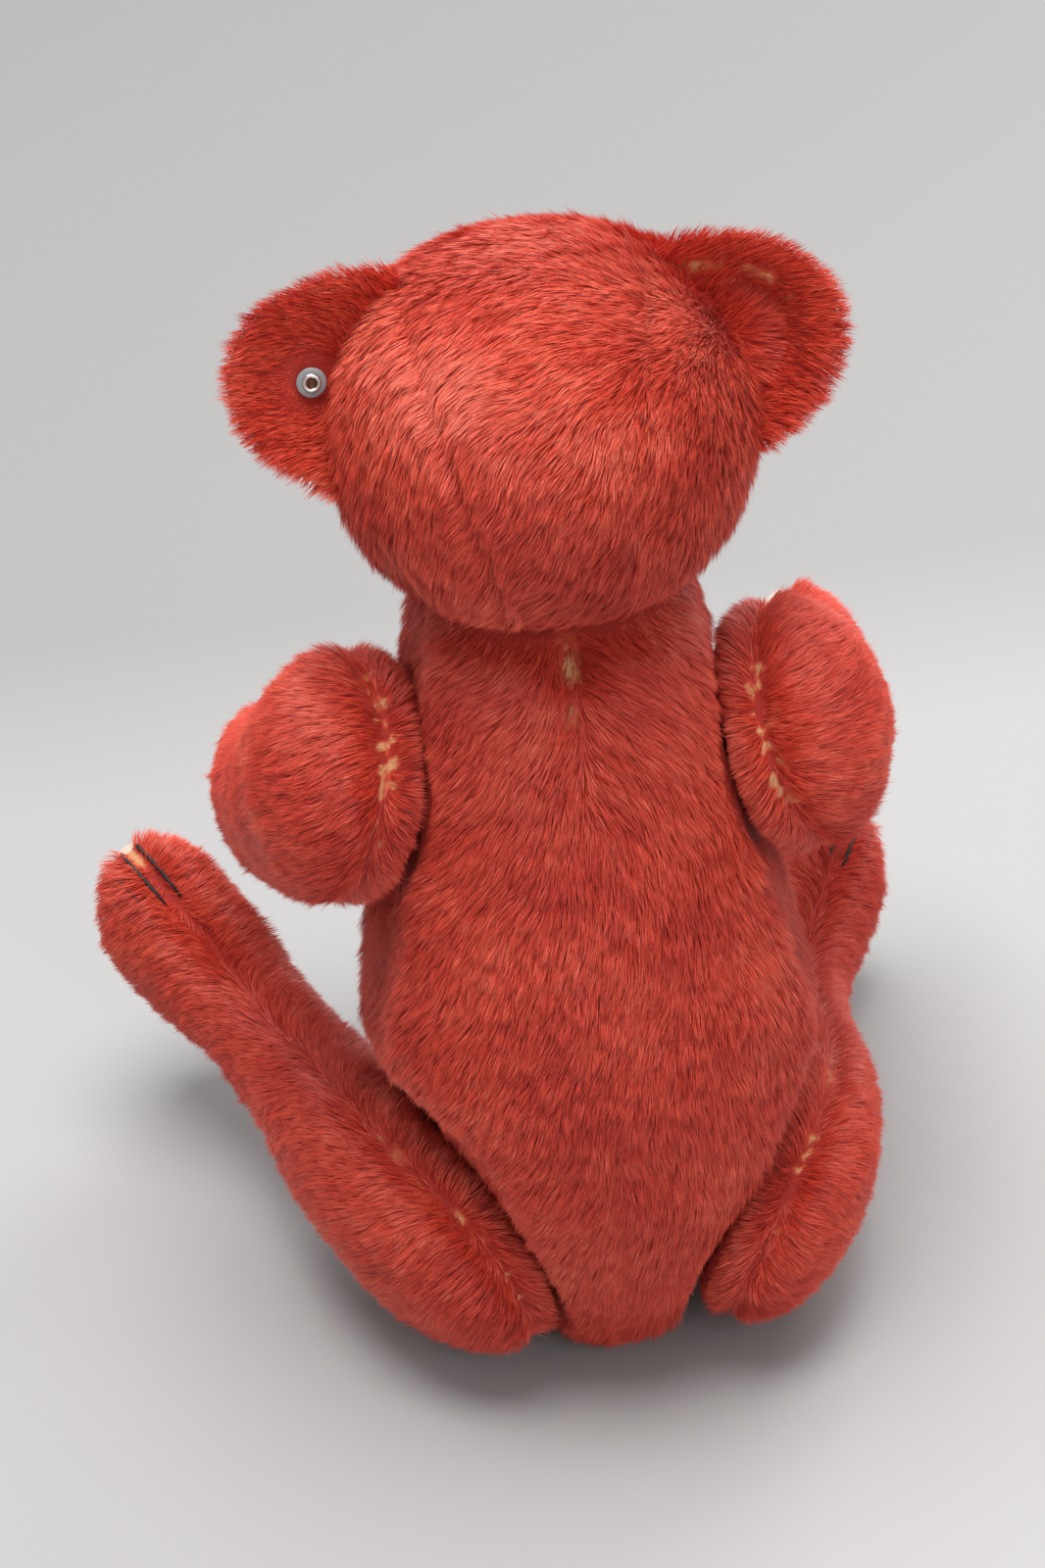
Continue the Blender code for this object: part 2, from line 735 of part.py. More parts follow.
def build_head(neck_place):
    lift = Vector((0.0, 0.0, TORSO_H + JOINT_GAP))
    turns = list(HEAD_TURNS)
    step = (0.5, 0.5)
    up = lambda p: p + lift
    pin_hole = hole("neck_head_hole", -2.0, 8.0, neck_place)
    eye_cut = {}
    for word, side in (("left", 1), ("right", -1)):
        eye_cut[side] = build_eye(word, side, lift)
    for word, side in (("left", 1), ("right", -1)):
        panel = side_panel(f"head_{word}_side", turns, step, side, lift)
        cut(panel, pin_hole)
        cut(panel, eye_cut[side])
    strip = gusset_turns()
    vs = {}
    for t in strip:
        edge = gusset_edge(t) - seam_shift(t)
        vs[t] = [edge * (-1 + 2 * j / 4) for j in range(5)]
    gusset = shell(
        "head_gusset", head_point, head_core, strip, vs, "mohair_red", step=step, place=up
    )
    cut(gusset, pin_hole)
    stuffing = head_form("head_stuffing", SKIN + 2.0 * FILL_GAP, "stuffing", lift)
    cut(stuffing, pocket("neck_head_pocket", NECK_DISC_R, 1, neck_place))
    for side in (1, -1):
        cut(stuffing, eye_cut[side])
    joint_discs("head_neck", NECK_DISC_R, 1, neck_place)
    cotter_pin("neck_cotter_pin", neck_place)


def side_panel(name, turns, step, side, lift):
    """One cheek: rows run all round the head and close up at the temple."""
    rows_out, rows_in = [], []
    for k in range(len(HEAD_STEPS)):
        out_row, in_row = [], []
        for t in turns:
            lean = side_leans(t)[k]
            p = head_point(t, lean)
            n = Vector((1, 0, 0))
            if k < len(HEAD_STEPS) - 1:
                n = outward_normal(head_point, head_core, t, lean, *step)
            q = p - n * SKIN
            if gusset_edge(t) == 0.0:
                q.x = max(q.x, SEAM / 2)
            out_row.append(p)
            in_row.append(q)
        if k == len(HEAD_STEPS) - 1:
            out_row, in_row = out_row[:1], in_row[:1]
        rows_out.append(out_row)
        rows_in.append(in_row)
    out_verts, out_starts = flatten(rows_out, 0)
    in_verts, in_starts = flatten(rows_in, len(out_verts))
    out_faces = grid_faces(rows_out, out_starts, True)
    in_faces = grid_faces(rows_in, in_starts, True)
    rims = rim_faces(out_faces, out_verts, len(out_verts))
    faces = out_faces + [f[::-1] for f in in_faces] + rims
    place = lambda p: mirrored(p, side) + lift
    return solid(name, out_verts + in_verts, faces, "mohair_red", place)


def head_form(name, inset, slot, lift):
    """The whole head as one closed form, with its rows where the panels have theirs."""
    columns = []
    strip = gusset_turns()
    for t in HEAD_TURNS:
        right = side_leans(t)[:-1]
        edge = right[0]
        middle = [edge * (-1 + 2 * j / 4) for j in range(1, 4)]
        columns.append([-v for v in right[::-1]] + middle + right)
    rows = []
    for k in range(len(columns[0])):
        row = []
        for i, t in enumerate(HEAD_TURNS):
            lean = columns[i][k]
            n = outward_normal(head_point, head_core, t, lean, 0.5, 0.5)
            row.append(head_point(t, lean) - n * inset)
        rows.append(row)
    ends = [head_point(0.0, s * 90.0) - Vector((s * inset, 0, 0)) for s in (-1, 1)]
    rows = [[ends[0]]] + rows + [[ends[1]]]
    verts, starts = flatten(rows, 0)
    return solid(name, verts, grid_faces(rows, starts, True), slot, lambda p: p + lift)


EYE_TURN = 16.0
EYE_LEAN = 24.0


def build_eye(word, side, lift):
    """A glass eye: a domed button on a short stem. Returns the form that seats it."""
    spot = head_point(EYE_TURN, EYE_LEAN)
    n = outward_normal(head_point, head_core, EYE_TURN, EYE_LEAN, 0.5, 0.5)
    n = (n + Vector((0, -0.35, 0))).normalized()
    ey = n.cross(Vector((0, 0, 1))).normalized()
    place = lambda p: mirrored(spot + n * p.x + ey * p.y + n.cross(ey) * p.z, side) + lift

    def profile(extra):
        r = EYE_R + extra
        points = [(-6.5 - extra, 0.0), (-6.5 - extra, 1.6 + extra), (-3.2 - extra, 1.6 + extra)]
        for k in range(1, 8):
            a = math.radians(-90 + 180 * k / 8)
            points.append((0.8 + 0.75 * r * math.sin(a), r * math.cos(a)))
        return points + [(0.8 + 0.75 * r, 0.0)]

    lathe(f"{word}_eye", profile(0.0), 12, "glass_eye", place)
    return lathe(f"{word}_eye_seat", profile(0.35), 12, None, place)


EAR_W = 24.2  # half length of the ear's base
EAR_H = 32.0  # how far the ear stands out, with the part that is trimmed at the head
EAR_LAYER = 3.6


def ear_frame():
    """Centre of the ear's base and its axes: along the base, out of the head, and backward."""
    base = Vector((36.8, -1.9, 48.2))
    out = Vector((0.96, 0.03, 0.26)).normalized()
    along = Vector((-0.30, -0.28, 0.91))
    along = (along - out * along.dot(out)).normalized()
    return base, along, out, along.cross(out)


def ear_point(layer):
    """Layer runs from -1 at the front of the ear to +1 at its back."""
    base, along, out, face = ear_frame()

    def point(r, degrees):
        a = math.radians(degrees)
        u = EAR_W * r * math.cos(a)
        v = EAR_H * r * max(math.sin(a), 0.0) - 3.0
        cup = 7.5 * (u / EAR_W) ** 2 + 4.0 * (max(v, 0.0) / EAR_H) ** 2
        thin = 1.0 - 0.45 * r**3
        return base + along * u + out * v + face * (cup + layer * EAR_LAYER * thin)

    return point


def build_ears(head_cut, lift):
    for word, side in (("left", 1), ("right", -1)):
        for layer, sign in (("front", -1), ("back", 1)):
            rows_a, rows_b = [], []
            near, far = ear_point(sign * 0.055), ear_point(sign * 1.0)
            for r in (1.0, 0.8, 0.55, 0.28):
                rows_a.append([near(r, 180.0 * j / 10) for j in range(11)])
                rows_b.append([far(r, 180.0 * j / 10) for j in range(11)])
            rows_a.append([near(0.0, 0.0)])
            rows_b.append([far(0.0, 0.0)])
            a_verts, a_starts = flatten(rows_a, 0)
            b_verts, b_starts = flatten(rows_b, len(a_verts))
            a_faces = grid_faces(rows_a, a_starts, False)
            b_faces = grid_faces(rows_b, b_starts, False)
            rims = rim_faces(a_faces, a_verts, len(a_verts))
            faces = a_faces + [f[::-1] for f in b_faces] + rims
            ear = solid(
                f"{word}_ear_{layer}", a_verts + b_verts, faces, "mohair_red",
                lambda p, s=side: mirrored(p, s) + lift,
            )
            cut(ear, head_cut)
            if word == "left":
                cut(ear, bpy.data.objects["ear_button_hole"])


def button_place(lift):
    """The button goes through the left ear near its root, square to the ear."""
    base, along, out, face = ear_frame()
    spot = ear_point(0.0)(0.0, 0.0) + out * 15.5 - along * 1.0 + face * 0.8
    return lambda p: spot - face * p.x + along * p.y - out * p.z + lift


def build_button(place):
    front = EAR_LAYER + 0.5
    back = -(EAR_LAYER + 0.5)
    cap = [
        (front + 1.7, 0.0),
        (front + 1.5, 1.5),
        (front + 0.8, 2.7),
        (front, 3.1),
        (front, 1.2),
        (back - 1.3, 1.2),
        (back - 1.3, 2.0),
        (back - 1.9, 1.9),
        (back - 2.2, 1.3),
        (back - 1.9, 0.8),
        (1.0, 0.8),
        (1.0, 0.0),
    ]
    lathe("ear_button", cap[::-1], 12, "button_metal", place)
    washer = ring_profile(back - 0.9, back - 0.2, 1.5, 3.3)
    lathe("ear_button_washer", washer, 14, "washer_plastic", place)


def build_nose(lift):
    """The stitched nose with the single stitch below it, laid on the tip of the muzzle."""
    shape = (
        (0.5, 5.5), (-2.0, 7.6), (-5.0, 8.0), (-9.0, 6.0), (-12.0, 2.6), (-14.0, 0.9),
        (-19.0, 0.8), (-24.0, 0.8),
    )
    us = [s[0] for s in shape]
    vs = {}
    for turn, half in shape:
        reach = (head_point(turn, 0.0) - Vector(HEAD_HEART)).length
        lean = math.degrees(math.atan2(half, reach))
        vs[turn] = [lean * (-1 + 2 * j / 6) for j in range(7)]
    shell(
        "nose_stitching", head_point, head_core, us, vs, "thread_black",
        outer=-2.4, inner=-1.1, step=(0.5, 0.5), place=lambda p: p + lift,
    )


def build_mouth(lift):
    """One thread, from one corner of the mouth to the middle and on to the other corner."""
    spots = []
    for k in range(-5, 6):
        t = abs(k) / 5
        turn = -27.0 - 11.0 * t ** 1.4
        lean = 15.0 * k / 5
        n = outward_normal(head_point, head_core, turn, lean, 0.5, 0.5)
        spots.append(head_point(turn, lean) + n * 1.5)
    tube("mouth_stitching", spots, 0.7, 6, "thread_black", lambda p: p + lift)


def joint_empty(name, place):
    spot = bpy.data.objects.new(name, None)
    spot.location = place(Vector((0, 0, 0))) * MM
    spot.empty_display_size = 0.02
    bpy.context.scene.collection.objects.link(spot)


def main():
    for obj in list(bpy.data.objects):
        bpy.data.objects.remove(obj, do_unlink=True)
    lift = Vector((0.0, 0.0, TORSO_H + JOINT_GAP))
    neck_place = frame_place(
        lift, Vector((0, 0, 1)), Vector((1, 0, 0)), Vector((0, 1, 0)), 1
    )
    build_torso(neck_place)
    build_head(neck_place)
    joint_empty("neck_axis", neck_place)
    head_cut = head_form("head_cutter", -0.9, None, lift)
    pin_place = button_place(lift)
    button_hole = [(-9.0, 0.0), (-9.0, 1.5), (9.0, 1.5), (9.0, 0.0)]
    lathe("ear_button_hole", button_hole, 12, None, pin_place)
    build_ears(head_cut, lift)
    build_button(pin_place)
    build_nose(lift)
    build_mouth(lift)
    for word, side, raised in (("left", 1, LEFT_ARM_RAISE), ("right", -1, RIGHT_ARM_RAISE)):
        forward = turned(Vector((0, -1, 0)), SHOULDER_AXIS, -raised)
        arm_place = limb_frame(SHOULDER, SHOULDER_AXIS, forward)(side)
        build_limb(f"{word}_arm", "arm", arm_place)
        joint_empty(f"{word}_shoulder_axis", arm_place)
        leg_place = limb_frame(HIP, HIP_AXIS[side], leg_forward(side))(side)
        build_limb(f"{word}_leg", "leg", leg_place)
        build_claws(f"{word}_foot_claws", leg_place)
        joint_empty(f"{word}_hip_axis", leg_place)


main()
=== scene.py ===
"""The looks of the seated jointed mohair bear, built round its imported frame.

Lengths are in millimetres until a mesh is made. The bear faces -Y, its left side is +X.
"""

import math

import bmesh
import bpy
import numpy as np
from mathutils import Matrix, Vector
from mathutils.bvhtree import BVHTree
from mathutils.kdtree import KDTree


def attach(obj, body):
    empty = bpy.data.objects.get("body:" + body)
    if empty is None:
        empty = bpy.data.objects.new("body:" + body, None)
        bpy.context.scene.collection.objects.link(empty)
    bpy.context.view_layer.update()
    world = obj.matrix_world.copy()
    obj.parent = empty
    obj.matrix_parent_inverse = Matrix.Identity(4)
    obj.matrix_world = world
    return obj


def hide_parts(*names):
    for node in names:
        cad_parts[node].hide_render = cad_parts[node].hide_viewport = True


MM = 0.001
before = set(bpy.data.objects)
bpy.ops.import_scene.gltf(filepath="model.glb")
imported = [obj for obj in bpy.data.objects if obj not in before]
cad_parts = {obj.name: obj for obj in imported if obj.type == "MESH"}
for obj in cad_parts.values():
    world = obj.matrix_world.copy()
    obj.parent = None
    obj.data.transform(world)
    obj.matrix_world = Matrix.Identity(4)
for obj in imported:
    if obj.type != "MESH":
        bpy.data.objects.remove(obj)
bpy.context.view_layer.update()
rng = np.random.default_rng(20)

# ---------------------------------------------------------------- driving numbers

# In pairs such as SPLAY the key is 1 for the left limb and -1 for the right.
JOINT_GAP = 0.8  # between the skins of two bodies at their joint
NECK_Z = 208.8
SHOULDER = (37.6, 3.0, 158.5)
SHOULDER_TILT = 11.0
SHOULDER_SPLAY = 4.0
HIP = (30.0, 6.0, 39.5)
SPLAY = {1: 23.0, -1: 11.6}  # how far each leg turns outward
HIP_LEAN = {1: 18.5, -1: 25.0}
LEG_DROP = {1: -4.0, -1: 9.0}
FACET_TOP = 34.0  # above the hip, where its flat on the torso starts to fade
FACET_FADE = 26.0
ARM_RAISE = {1: -38.0, -1: -31.0}
ARM_PAD_FROM = 8.0  # station where the paw pad begins
LEG_PAD_FROM = 12.6  # station where the sole begins
EYE_R = 5.4

PILE = 5.6  # length of the pile
PILE_PER_MM2 = 5.2
PILE_W = 0.15  # width of one tuft at its root
PILE_RISE, PILE_FALL = 42.0, 12.0  # slope of a tuft at its root and tip, in degrees
LOCK_AREA = 1.3  # square millimetres to each lock
STRAY_SHARE = 0.012
ROOM_SEEN = 12.0  # how far away the next body is looked for
FLOOR_CLEAR = 0.3  # lowest point of the pile
PIECE_TUFTS = 60000

# Height, half width, half depth, middle in y
TORSO = (
    (0.0, 0.0, 0.0, 0.0),
    (0.0, 10.0, 12.0, 0.0),
    (3.2, 16.5, 19.5, 0.0),
    (10.5, 24.0, 28.0, 0.0),
    (22.0, 31.5, 36.0, 0.0),
    (37.0, 39.5, 43.5, 0.0),
    (55.0, 47.0, 50.0, 0.0),
    (74.0, 52.0, 54.0, 0.5),
    (95.0, 53.5, 54.5, 1.0),
    (117.0, 51.5, 52.0, 1.5),
    (139.0, 47.5, 47.5, 2.0),
    (161.0, 43.0, 42.5, 1.5),
    (181.0, 39.0, 38.0, 1.0),
    (195.0, 35.0, 34.5, 0.0),
    (203.5, 30.0, 30.0, 0.0),
    (208.0, 22.5, 22.5, 0.0),
    (208.0, 0.0, 0.0, 0.0),
)
# Place in y, half width, half height, middle in z
HEAD = (
    (-81.7, 0.0, 0.0, 20.2),
    (-79.0, 8.5, 7.7, 20.2),
    (-71.8, 13.9, 12.4, 20.2),
    (-61.0, 17.5, 15.9, 20.6),
    (-49.4, 22.0, 21.4, 23.2),
    (-37.7, 29.6, 29.2, 27.8),
    (-25.1, 38.6, 36.4, 32.6),
    (-9.0, 44.4, 40.7, 34.8),
    (9.0, 44.9, 41.2, 35.1),
    (25.1, 38.1, 36.4, 34.8),
    (37.7, 25.1, 25.7, 34.3),
    (44.0, 11.7, 12.0, 34.3),
    (45.7, 0.0, 0.0, 34.3),
)
HEAD_SQUARE = 2.2  # power of the head's cross-section
HEAD_HEART = np.array((0.0, -7.2, 34.4))
# Turn over the head in degrees, half width of the gusset
GUSSET = (
    (-9.0, 1.4),
    (0.0, 6.2),
    (12.0, 8.6),
    (28.0, 11.5),
    (45.0, 18.1),
    (66.0, 26.7),
    (90.0, 31.5),
    (122.0, 30.6),
    (150.0, 25.8),
    (180.0, 19.1),
    (208.0, 12.4),
    (226.0, 9.5),
    (240.0, 4.8),
    (248.0, 1.4),
)
# Place along the limb, rise of its middle, half height, half width, middle in x
ARM = (
    (-29.6, 0.0, 0.0, 0.0, 8.8),
    (-28.2, 0.0, 8.5, 6.4, 9.3),
    (-22.4, 0.0, 17.9, 12.7, 10.3),
    (-12.2, 0.0, 24.9, 17.6, 12.2),
    (2.0, 0.0, 27.7, 19.6, 13.7),
    (20.4, 0.0, 26.3, 19.1, 13.7),
    (44.9, 0.0, 22.6, 17.6, 13.7),
    (69.4, 1.0, 19.7, 16.2, 13.7),
    (87.7, 3.5, 18.3, 15.2, 13.7),
    (106.1, 7.5, 17.4, 13.7, 13.2),
    (122.4, 12.5, 15.5, 11.8, 12.2),
    (133.6, 16.5, 11.8, 8.8, 11.3),
    (139.7, 19.0, 6.6, 4.9, 10.8),
    (141.8, 20.0, 0.0, 0.0, 10.8),
)
LEG = (
    (-35.7, 0.0, 0.0, 0.0, 8.9),
    (-34.3, 0.0, 8.6, 5.6, 9.3),
    (-28.1, 0.0, 19.3, 12.0, 10.1),
    (-15.3, 0.0, 27.5, 16.8, 12.2),
    (3.1, 0.0, 31.0, 19.2, 13.7),
    (24.5, 0.0, 29.1, 18.7, 14.2),
    (47.4, 0.0, 24.0, 16.6, 13.7),
    (69.4, 0.5, 18.7, 13.8, 13.3),
    (86.9, 2.2, 17.0, 13.0, 13.0),
    (101.2, 5.0, 19.9, 14.1, 13.3),
    (113.1, 8.1, 25.0, 15.5, 14.2),
    (122.0, 10.8, 28.4, 16.2, 15.0),
    (128.5, 11.7, 28.2, 15.5, 15.4),
    (133.4, 11.7, 24.8, 12.6, 15.2),
    (136.6, 11.7, 15.4, 7.6, 14.5),
    (137.3, 11.7, 0.0, 0.0, 14.5),
)


# ---------------------------------------------------------------- curves and noise


def curve(xs, ys):
    """A smooth function through the points, for arrays."""
    xs, ys = np.array(xs, float), np.array(ys, float)
    step = np.diff(ys) / np.maximum(np.diff(xs), 1e-9)
    m = np.concatenate([step[:1], np.zeros(len(xs) - 2), step[-1:]])
    a, b = step[:-1], step[1:]
    same = a * b > 0
    m[1:-1][same] = 2 * a[same] * b[same] / (a + b)[same]

    def value(x):
        x = np.clip(np.asarray(x, float), xs[0], xs[-1])
        i = np.clip(np.searchsorted(xs, x, side="left") - 1, 0, len(xs) - 2)
        h = np.maximum(xs[i + 1] - xs[i], 1e-9)
        t = (x - xs[i]) / h
        left = ys[i] * (1 + 2 * t) * (1 - t) ** 2 + m[i] * h * t * (1 - t) ** 2
        return left + ys[i + 1] * t * t * (3 - 2 * t) - m[i + 1] * h * t * t * (1 - t)

    return value


def station_curves(table):
    numbers = np.arange(len(table))
    return [curve(numbers, [row[c] for row in table]) for c in range(len(table[0]))]


def smooth(t):
    t = np.clip(t, 0.0, 1.0)
    return t * t * (3 - 2 * t)


def waves(seed, scale, count=10):
    """Smooth noise of about unit spread, with features about as large as scale."""
    g = np.random.default_rng(seed)
    k = g.normal(size=(count, 3))
    k *= 2 * math.pi / scale * g.uniform(0.6, 1.5, (count, 1)) / np.linalg.norm(k, axis=1)[:, None]
    phase = g.uniform(0, 2 * math.pi, count)
    return lambda p: np.sin(p @ k.T + phase).sum(1) / math.sqrt(count / 2)


def unit(v):
    return v / np.maximum(np.linalg.norm(v, axis=-1, keepdims=True), 1e-9)


torso_at = station_curves(TORSO)
arm_at = station_curves(ARM)
leg_at = station_curves(LEG)
head_ys = [row[0] for row in HEAD]
head_width2 = curve(head_ys, [row[1] ** 2 for row in HEAD])
head_height2 = curve(head_ys, [row[2] ** 2 for row in HEAD])
head_centre = curve(head_ys, [row[3] for row in HEAD])
gusset_half = curve([g[0] for g in GUSSET], [g[1] for g in GUSSET])


def leaning(splay, rise):
    a, b = math.radians(splay), math.radians(rise)
    return np.array((math.cos(a) * math.cos(b), math.sin(a) * math.cos(b), math.sin(b)))


SHOULDER_AXIS = leaning(SHOULDER_SPLAY, SHOULDER_TILT)
HIP_AXIS = {side: leaning(SPLAY[side], -HIP_LEAN[side]) for side in (1, -1)}
FLIP = {1: np.array((1.0, 1.0, 1.0)), -1: np.array((-1.0, 1.0, 1.0))}


def torso_point(station, degrees):
    z, half_x, half_y, yc = [f(station) for f in torso_at]
    a = np.radians(degrees)
    p = np.stack([half_x * np.cos(a), yc + half_y * np.sin(a), z + 0 * a], -1)
    for side in (1, -1):
        for centre, axis in ((SHOULDER, SHOULDER_AXIS), (HIP, HIP_AXIS[side])):
            n = axis * FLIP[side]
            away = p - np.array(centre) * FLIP[side]
            out = np.maximum(away @ n + JOINT_GAP, 0.0)
            if centre is HIP:
                out = out * (1 - smooth((away[..., 2] - FACET_TOP) / FACET_FADE))
            p = p - n * out[..., None]
    return p


def head_point(turn, lean):
    """Where a ray from the head's heart leaves the head, above the neck plane."""
    a, w = np.radians(turn), np.radians(lean)
    ray = np.stack([np.sin(w), -np.cos(w) * np.cos(a), np.cos(w) * np.sin(a)], -1)
    near, far = np.full(ray.shape[:-1], 5.0), np.full(ray.shape[:-1], 120.0)
    for _ in range(30):
        mid = (near + far) / 2
        p = HEAD_HEART + ray * mid[..., None]
        wide = np.sqrt(np.maximum(head_width2(p[..., 1]), 1e-6))
        high = np.sqrt(np.maximum(head_height2(p[..., 1]), 1e-6))
        across = np.abs(p[..., 0]) / wide
        up = np.abs(p[..., 2] - head_centre(p[..., 1])) / high
        inside = across**HEAD_SQUARE + up**HEAD_SQUARE < 1.0
        inside &= (p[..., 1] > HEAD[0][0]) & (p[..., 1] < HEAD[-1][0]) & (p[..., 2] >= 0)
        near, far = np.where(inside, mid, near), np.where(inside, far, mid)
    return HEAD_HEART + ray * near[..., None] + np.array((0, 0, NECK_Z))


def limb_local(at, station, degrees):
    y, zc, half_z, half_x, middle_x = [f(station) for f in at]
    a = np.radians(degrees)
    x = np.maximum(middle_x + half_x * np.cos(a), 0.0)
    return np.stack([x, y + 0 * a, zc + half_z * np.sin(a)], -1)


def limb_frame(kind, side):
    """Centre and axes of a limb: outward, forward and up. They are the left limb's."""
    if kind == "arm":
        axis, centre = SHOULDER_AXIS, SHOULDER
        turn = Matrix.Rotation(math.radians(-ARM_RAISE[side]), 3, Vector(axis))
        forward = np.array(turn @ Vector((0, -1, 0)))
    else:
        axis, centre = HIP_AXIS[side], HIP
        a, b = math.radians(SPLAY[side]), math.radians(LEG_DROP[side])
        forward = np.array((math.sin(a) * math.cos(b), -math.cos(a) * math.cos(b), -math.sin(b)))
    ex = unit(axis)
    ey = unit(forward - ex * (forward @ ex))
    return np.array(centre), ex, ey, np.cross(ey, ex)


def limb_place(kind, side):
    centre, ex, ey, ez = limb_frame(kind, side)
    return lambda p: (centre + p @ np.stack([ex, ey, ez])) * FLIP[side]


# ---------------------------------------------------------------- surfaces


def surface(P, wrap=True):
    """A grid of points as a surface with normals that point outward."""
    nu, nv = P.shape[:2]
    index = np.arange(nu * nv).reshape(nu, nv)
    if wrap:
        a, b = index[:-1], np.roll(index, -1, 1)[:-1]
        c, d = np.roll(index, -1, 1)[1:], index[1:]
    else:
        a, b, c, d = index[:-1, :-1], index[:-1, 1:], index[1:, 1:], index[1:, :-1]
    quads = np.stack([a, b, c, d], -1).reshape(-1, 4)
    flat = P.reshape(-1, 3)
    v = flat[quads]
    middle = flat.mean(0)
    facing = np.cross(v[:, 2] - v[:, 0], v[:, 3] - v[:, 1])
    if np.einsum("ij,ij->", facing, v.mean(1) - middle) < 0:
        quads = quads[:, ::-1]
    s = {"P": flat.copy(), "quads": quads, "shape": (nu, nv), "wrap": wrap}
    s["tris"] = np.concatenate([quads[:, [0, 1, 2]], quads[:, [0, 2, 3]]])
    renormal(s)
    return s


def renormal(s):
    P, tris = s["P"], s["tris"]
    n = np.cross(P[tris[:, 1]] - P[tris[:, 0]], P[tris[:, 2]] - P[tris[:, 0]])
    N = np.zeros_like(P)
    for k in range(3):
        np.add.at(N, tris[:, k], n)
    grid = N.reshape(*s["shape"], 3)
    spots = P.reshape(*s["shape"], 3)
    for row in (0, -1):
        if np.ptp(spots[row], axis=0).max() < 1e-6:
            grid[row] = grid[row].sum(0)
    s["N"] = unit(grid.reshape(-1, 3))


def push(s, depth):
    """Moves the surface along its normals. A positive depth goes inward."""
    s["P"] = s["P"] - s["N"] * depth[:, None]
    renormal(s)


def torso_surface():
    u, v = np.meshgrid(np.linspace(0, 16, 129), np.linspace(0, 360, 129)[:-1], indexing="ij")
    s = surface(torso_point(u, v))
    x, y, z = s["P"].T
    back = smooth((y - 5) / 15)
    gather = np.exp(-(((z - 200) / 4.5) ** 2) - (x / 2.6) ** 2) * back
    lower = np.exp(-(((z - 190) / 2.2) ** 2) - ((x - 1) / 1.8) ** 2) * back
    seam = np.exp(-((x / 2.2) ** 2))
    push(s, 2.6 * gather + 1.2 * lower + 0.5 * seam * smooth((z - 2) / 20))
    s["bare"] = np.clip(0.80 * gather + 0.9 * lower + 0.04 * seam, 0, 1)
    top, left = smooth((z - 125) / 60), smooth((x + 8) / 26)
    right_way = 0.30 - 0.95 * top
    lateral = right_way + (0.50 + 0.60 * top - right_way) * left
    front = smooth(-y / 25)
    lateral = lateral * (1 - front) + front * 0.25 * np.sign(x)
    F = np.stack([lateral, 0 * x - 0.02, -1.0 + 0 * x], -1)
    crown = smooth((s["N"][:, 2] - 0.5) / 0.4)[:, None]
    F = F * (1 - crown) + crown * np.stack([x, y, 0 * z], -1) / 20
    part = np.sign(x) * np.exp(-((x / 5.0) ** 2)) * smooth((z - 160) / 30)
    F[:, 0] += 0.9 * part
    s["F"] = F
    s["long"] = np.ones(len(F))
    s["dens"] = np.ones(len(F))
    return s


def head_surface():
    u, v = np.meshgrid(np.linspace(-112, 248, 161)[:-1], np.linspace(-90, 90, 97), indexing="ij")
    s = surface(np.swapaxes(head_point(u, v), 0, 1))
    turn, lean = u.T.ravel(), v.T.ravel()
    reach = np.linalg.norm(head_point(turn, 0 * turn) - HEAD_HEART - (0, 0, NECK_Z), axis=-1)
    covered = (turn > GUSSET[0][0]) & (turn < GUSSET[-1][0])
    edge = np.where(covered, np.degrees(np.arctan2(gusset_half(turn), reach)), 0.0)
    off = np.radians(np.abs(lean) - edge) * reach
    d = np.abs(off)
    x, y, z = s["P"].T
    groove = np.exp(-((d / 1.8) ** 2))
    behind = smooth((y - 0) / 25)
    push(s, groove * (0.5 + 0.5 * behind) * smooth((z - NECK_Z - 3) / 10))
    right = smooth(-x / 8)
    patch = waves(3, 14.0)(s["P"])
    low = smooth((NECK_Z + 62 - z) / 14)
    faint = np.exp(-((d / 1.2) ** 2)) * behind * low * (0.10 + 0.16 * right + 0.25 * patch)
    s["bare"] = np.clip(faint, 0, 0.8)
    F = np.stack([0.55 + 0 * x, 0.60 + 0 * x, -0.78 + 0 * x], -1)
    face = smooth((-28 - y) / 26)[:, None]
    over = np.stack([0.25 * np.sign(x), 1.0 + 0 * x, -0.10 - 0.25 * smooth(-(z - NECK_Z - 30) / 20)], -1)
    F = F * (1 - face) + over * face
    crown = (smooth((s["N"][:, 2] - 0.25) / 0.45) * (1 - face[:, 0]))[:, None]
    F = F * (1 - crown) + np.stack([1.0 + 0 * x, 0.55 + 0 * x, 0 * x], -1) * crown
    # Painted highlight: pile on the head's upward-facing top takes lighter shades, light from above painted
    # into its colour
    s["tone"] = 1.3 * smooth((s["N"][:, 2] - 0.05) / 0.6)
    chin = smooth((NECK_Z + 16 - z) / 10)[:, None] * smooth(-(y + 20) / 20)[:, None]
    F = F * (1 - chin) + np.array((0, 0.8, -0.4)) * chin
    part = (np.sign(lean) * np.sign(off) * np.exp(-((off / 4.0) ** 2)))[:, None]
    F = F + 0.35 * part * np.stack([1 + 0 * x, 0 * x, 0 * x], -1) * behind[:, None]
    s["F"] = F
    muzzle = smooth((-36 - y) / 16)
    s["long"] = 1 - 0.52 * muzzle
    s["dens"] = 1 + 0.5 * muzzle
    return s


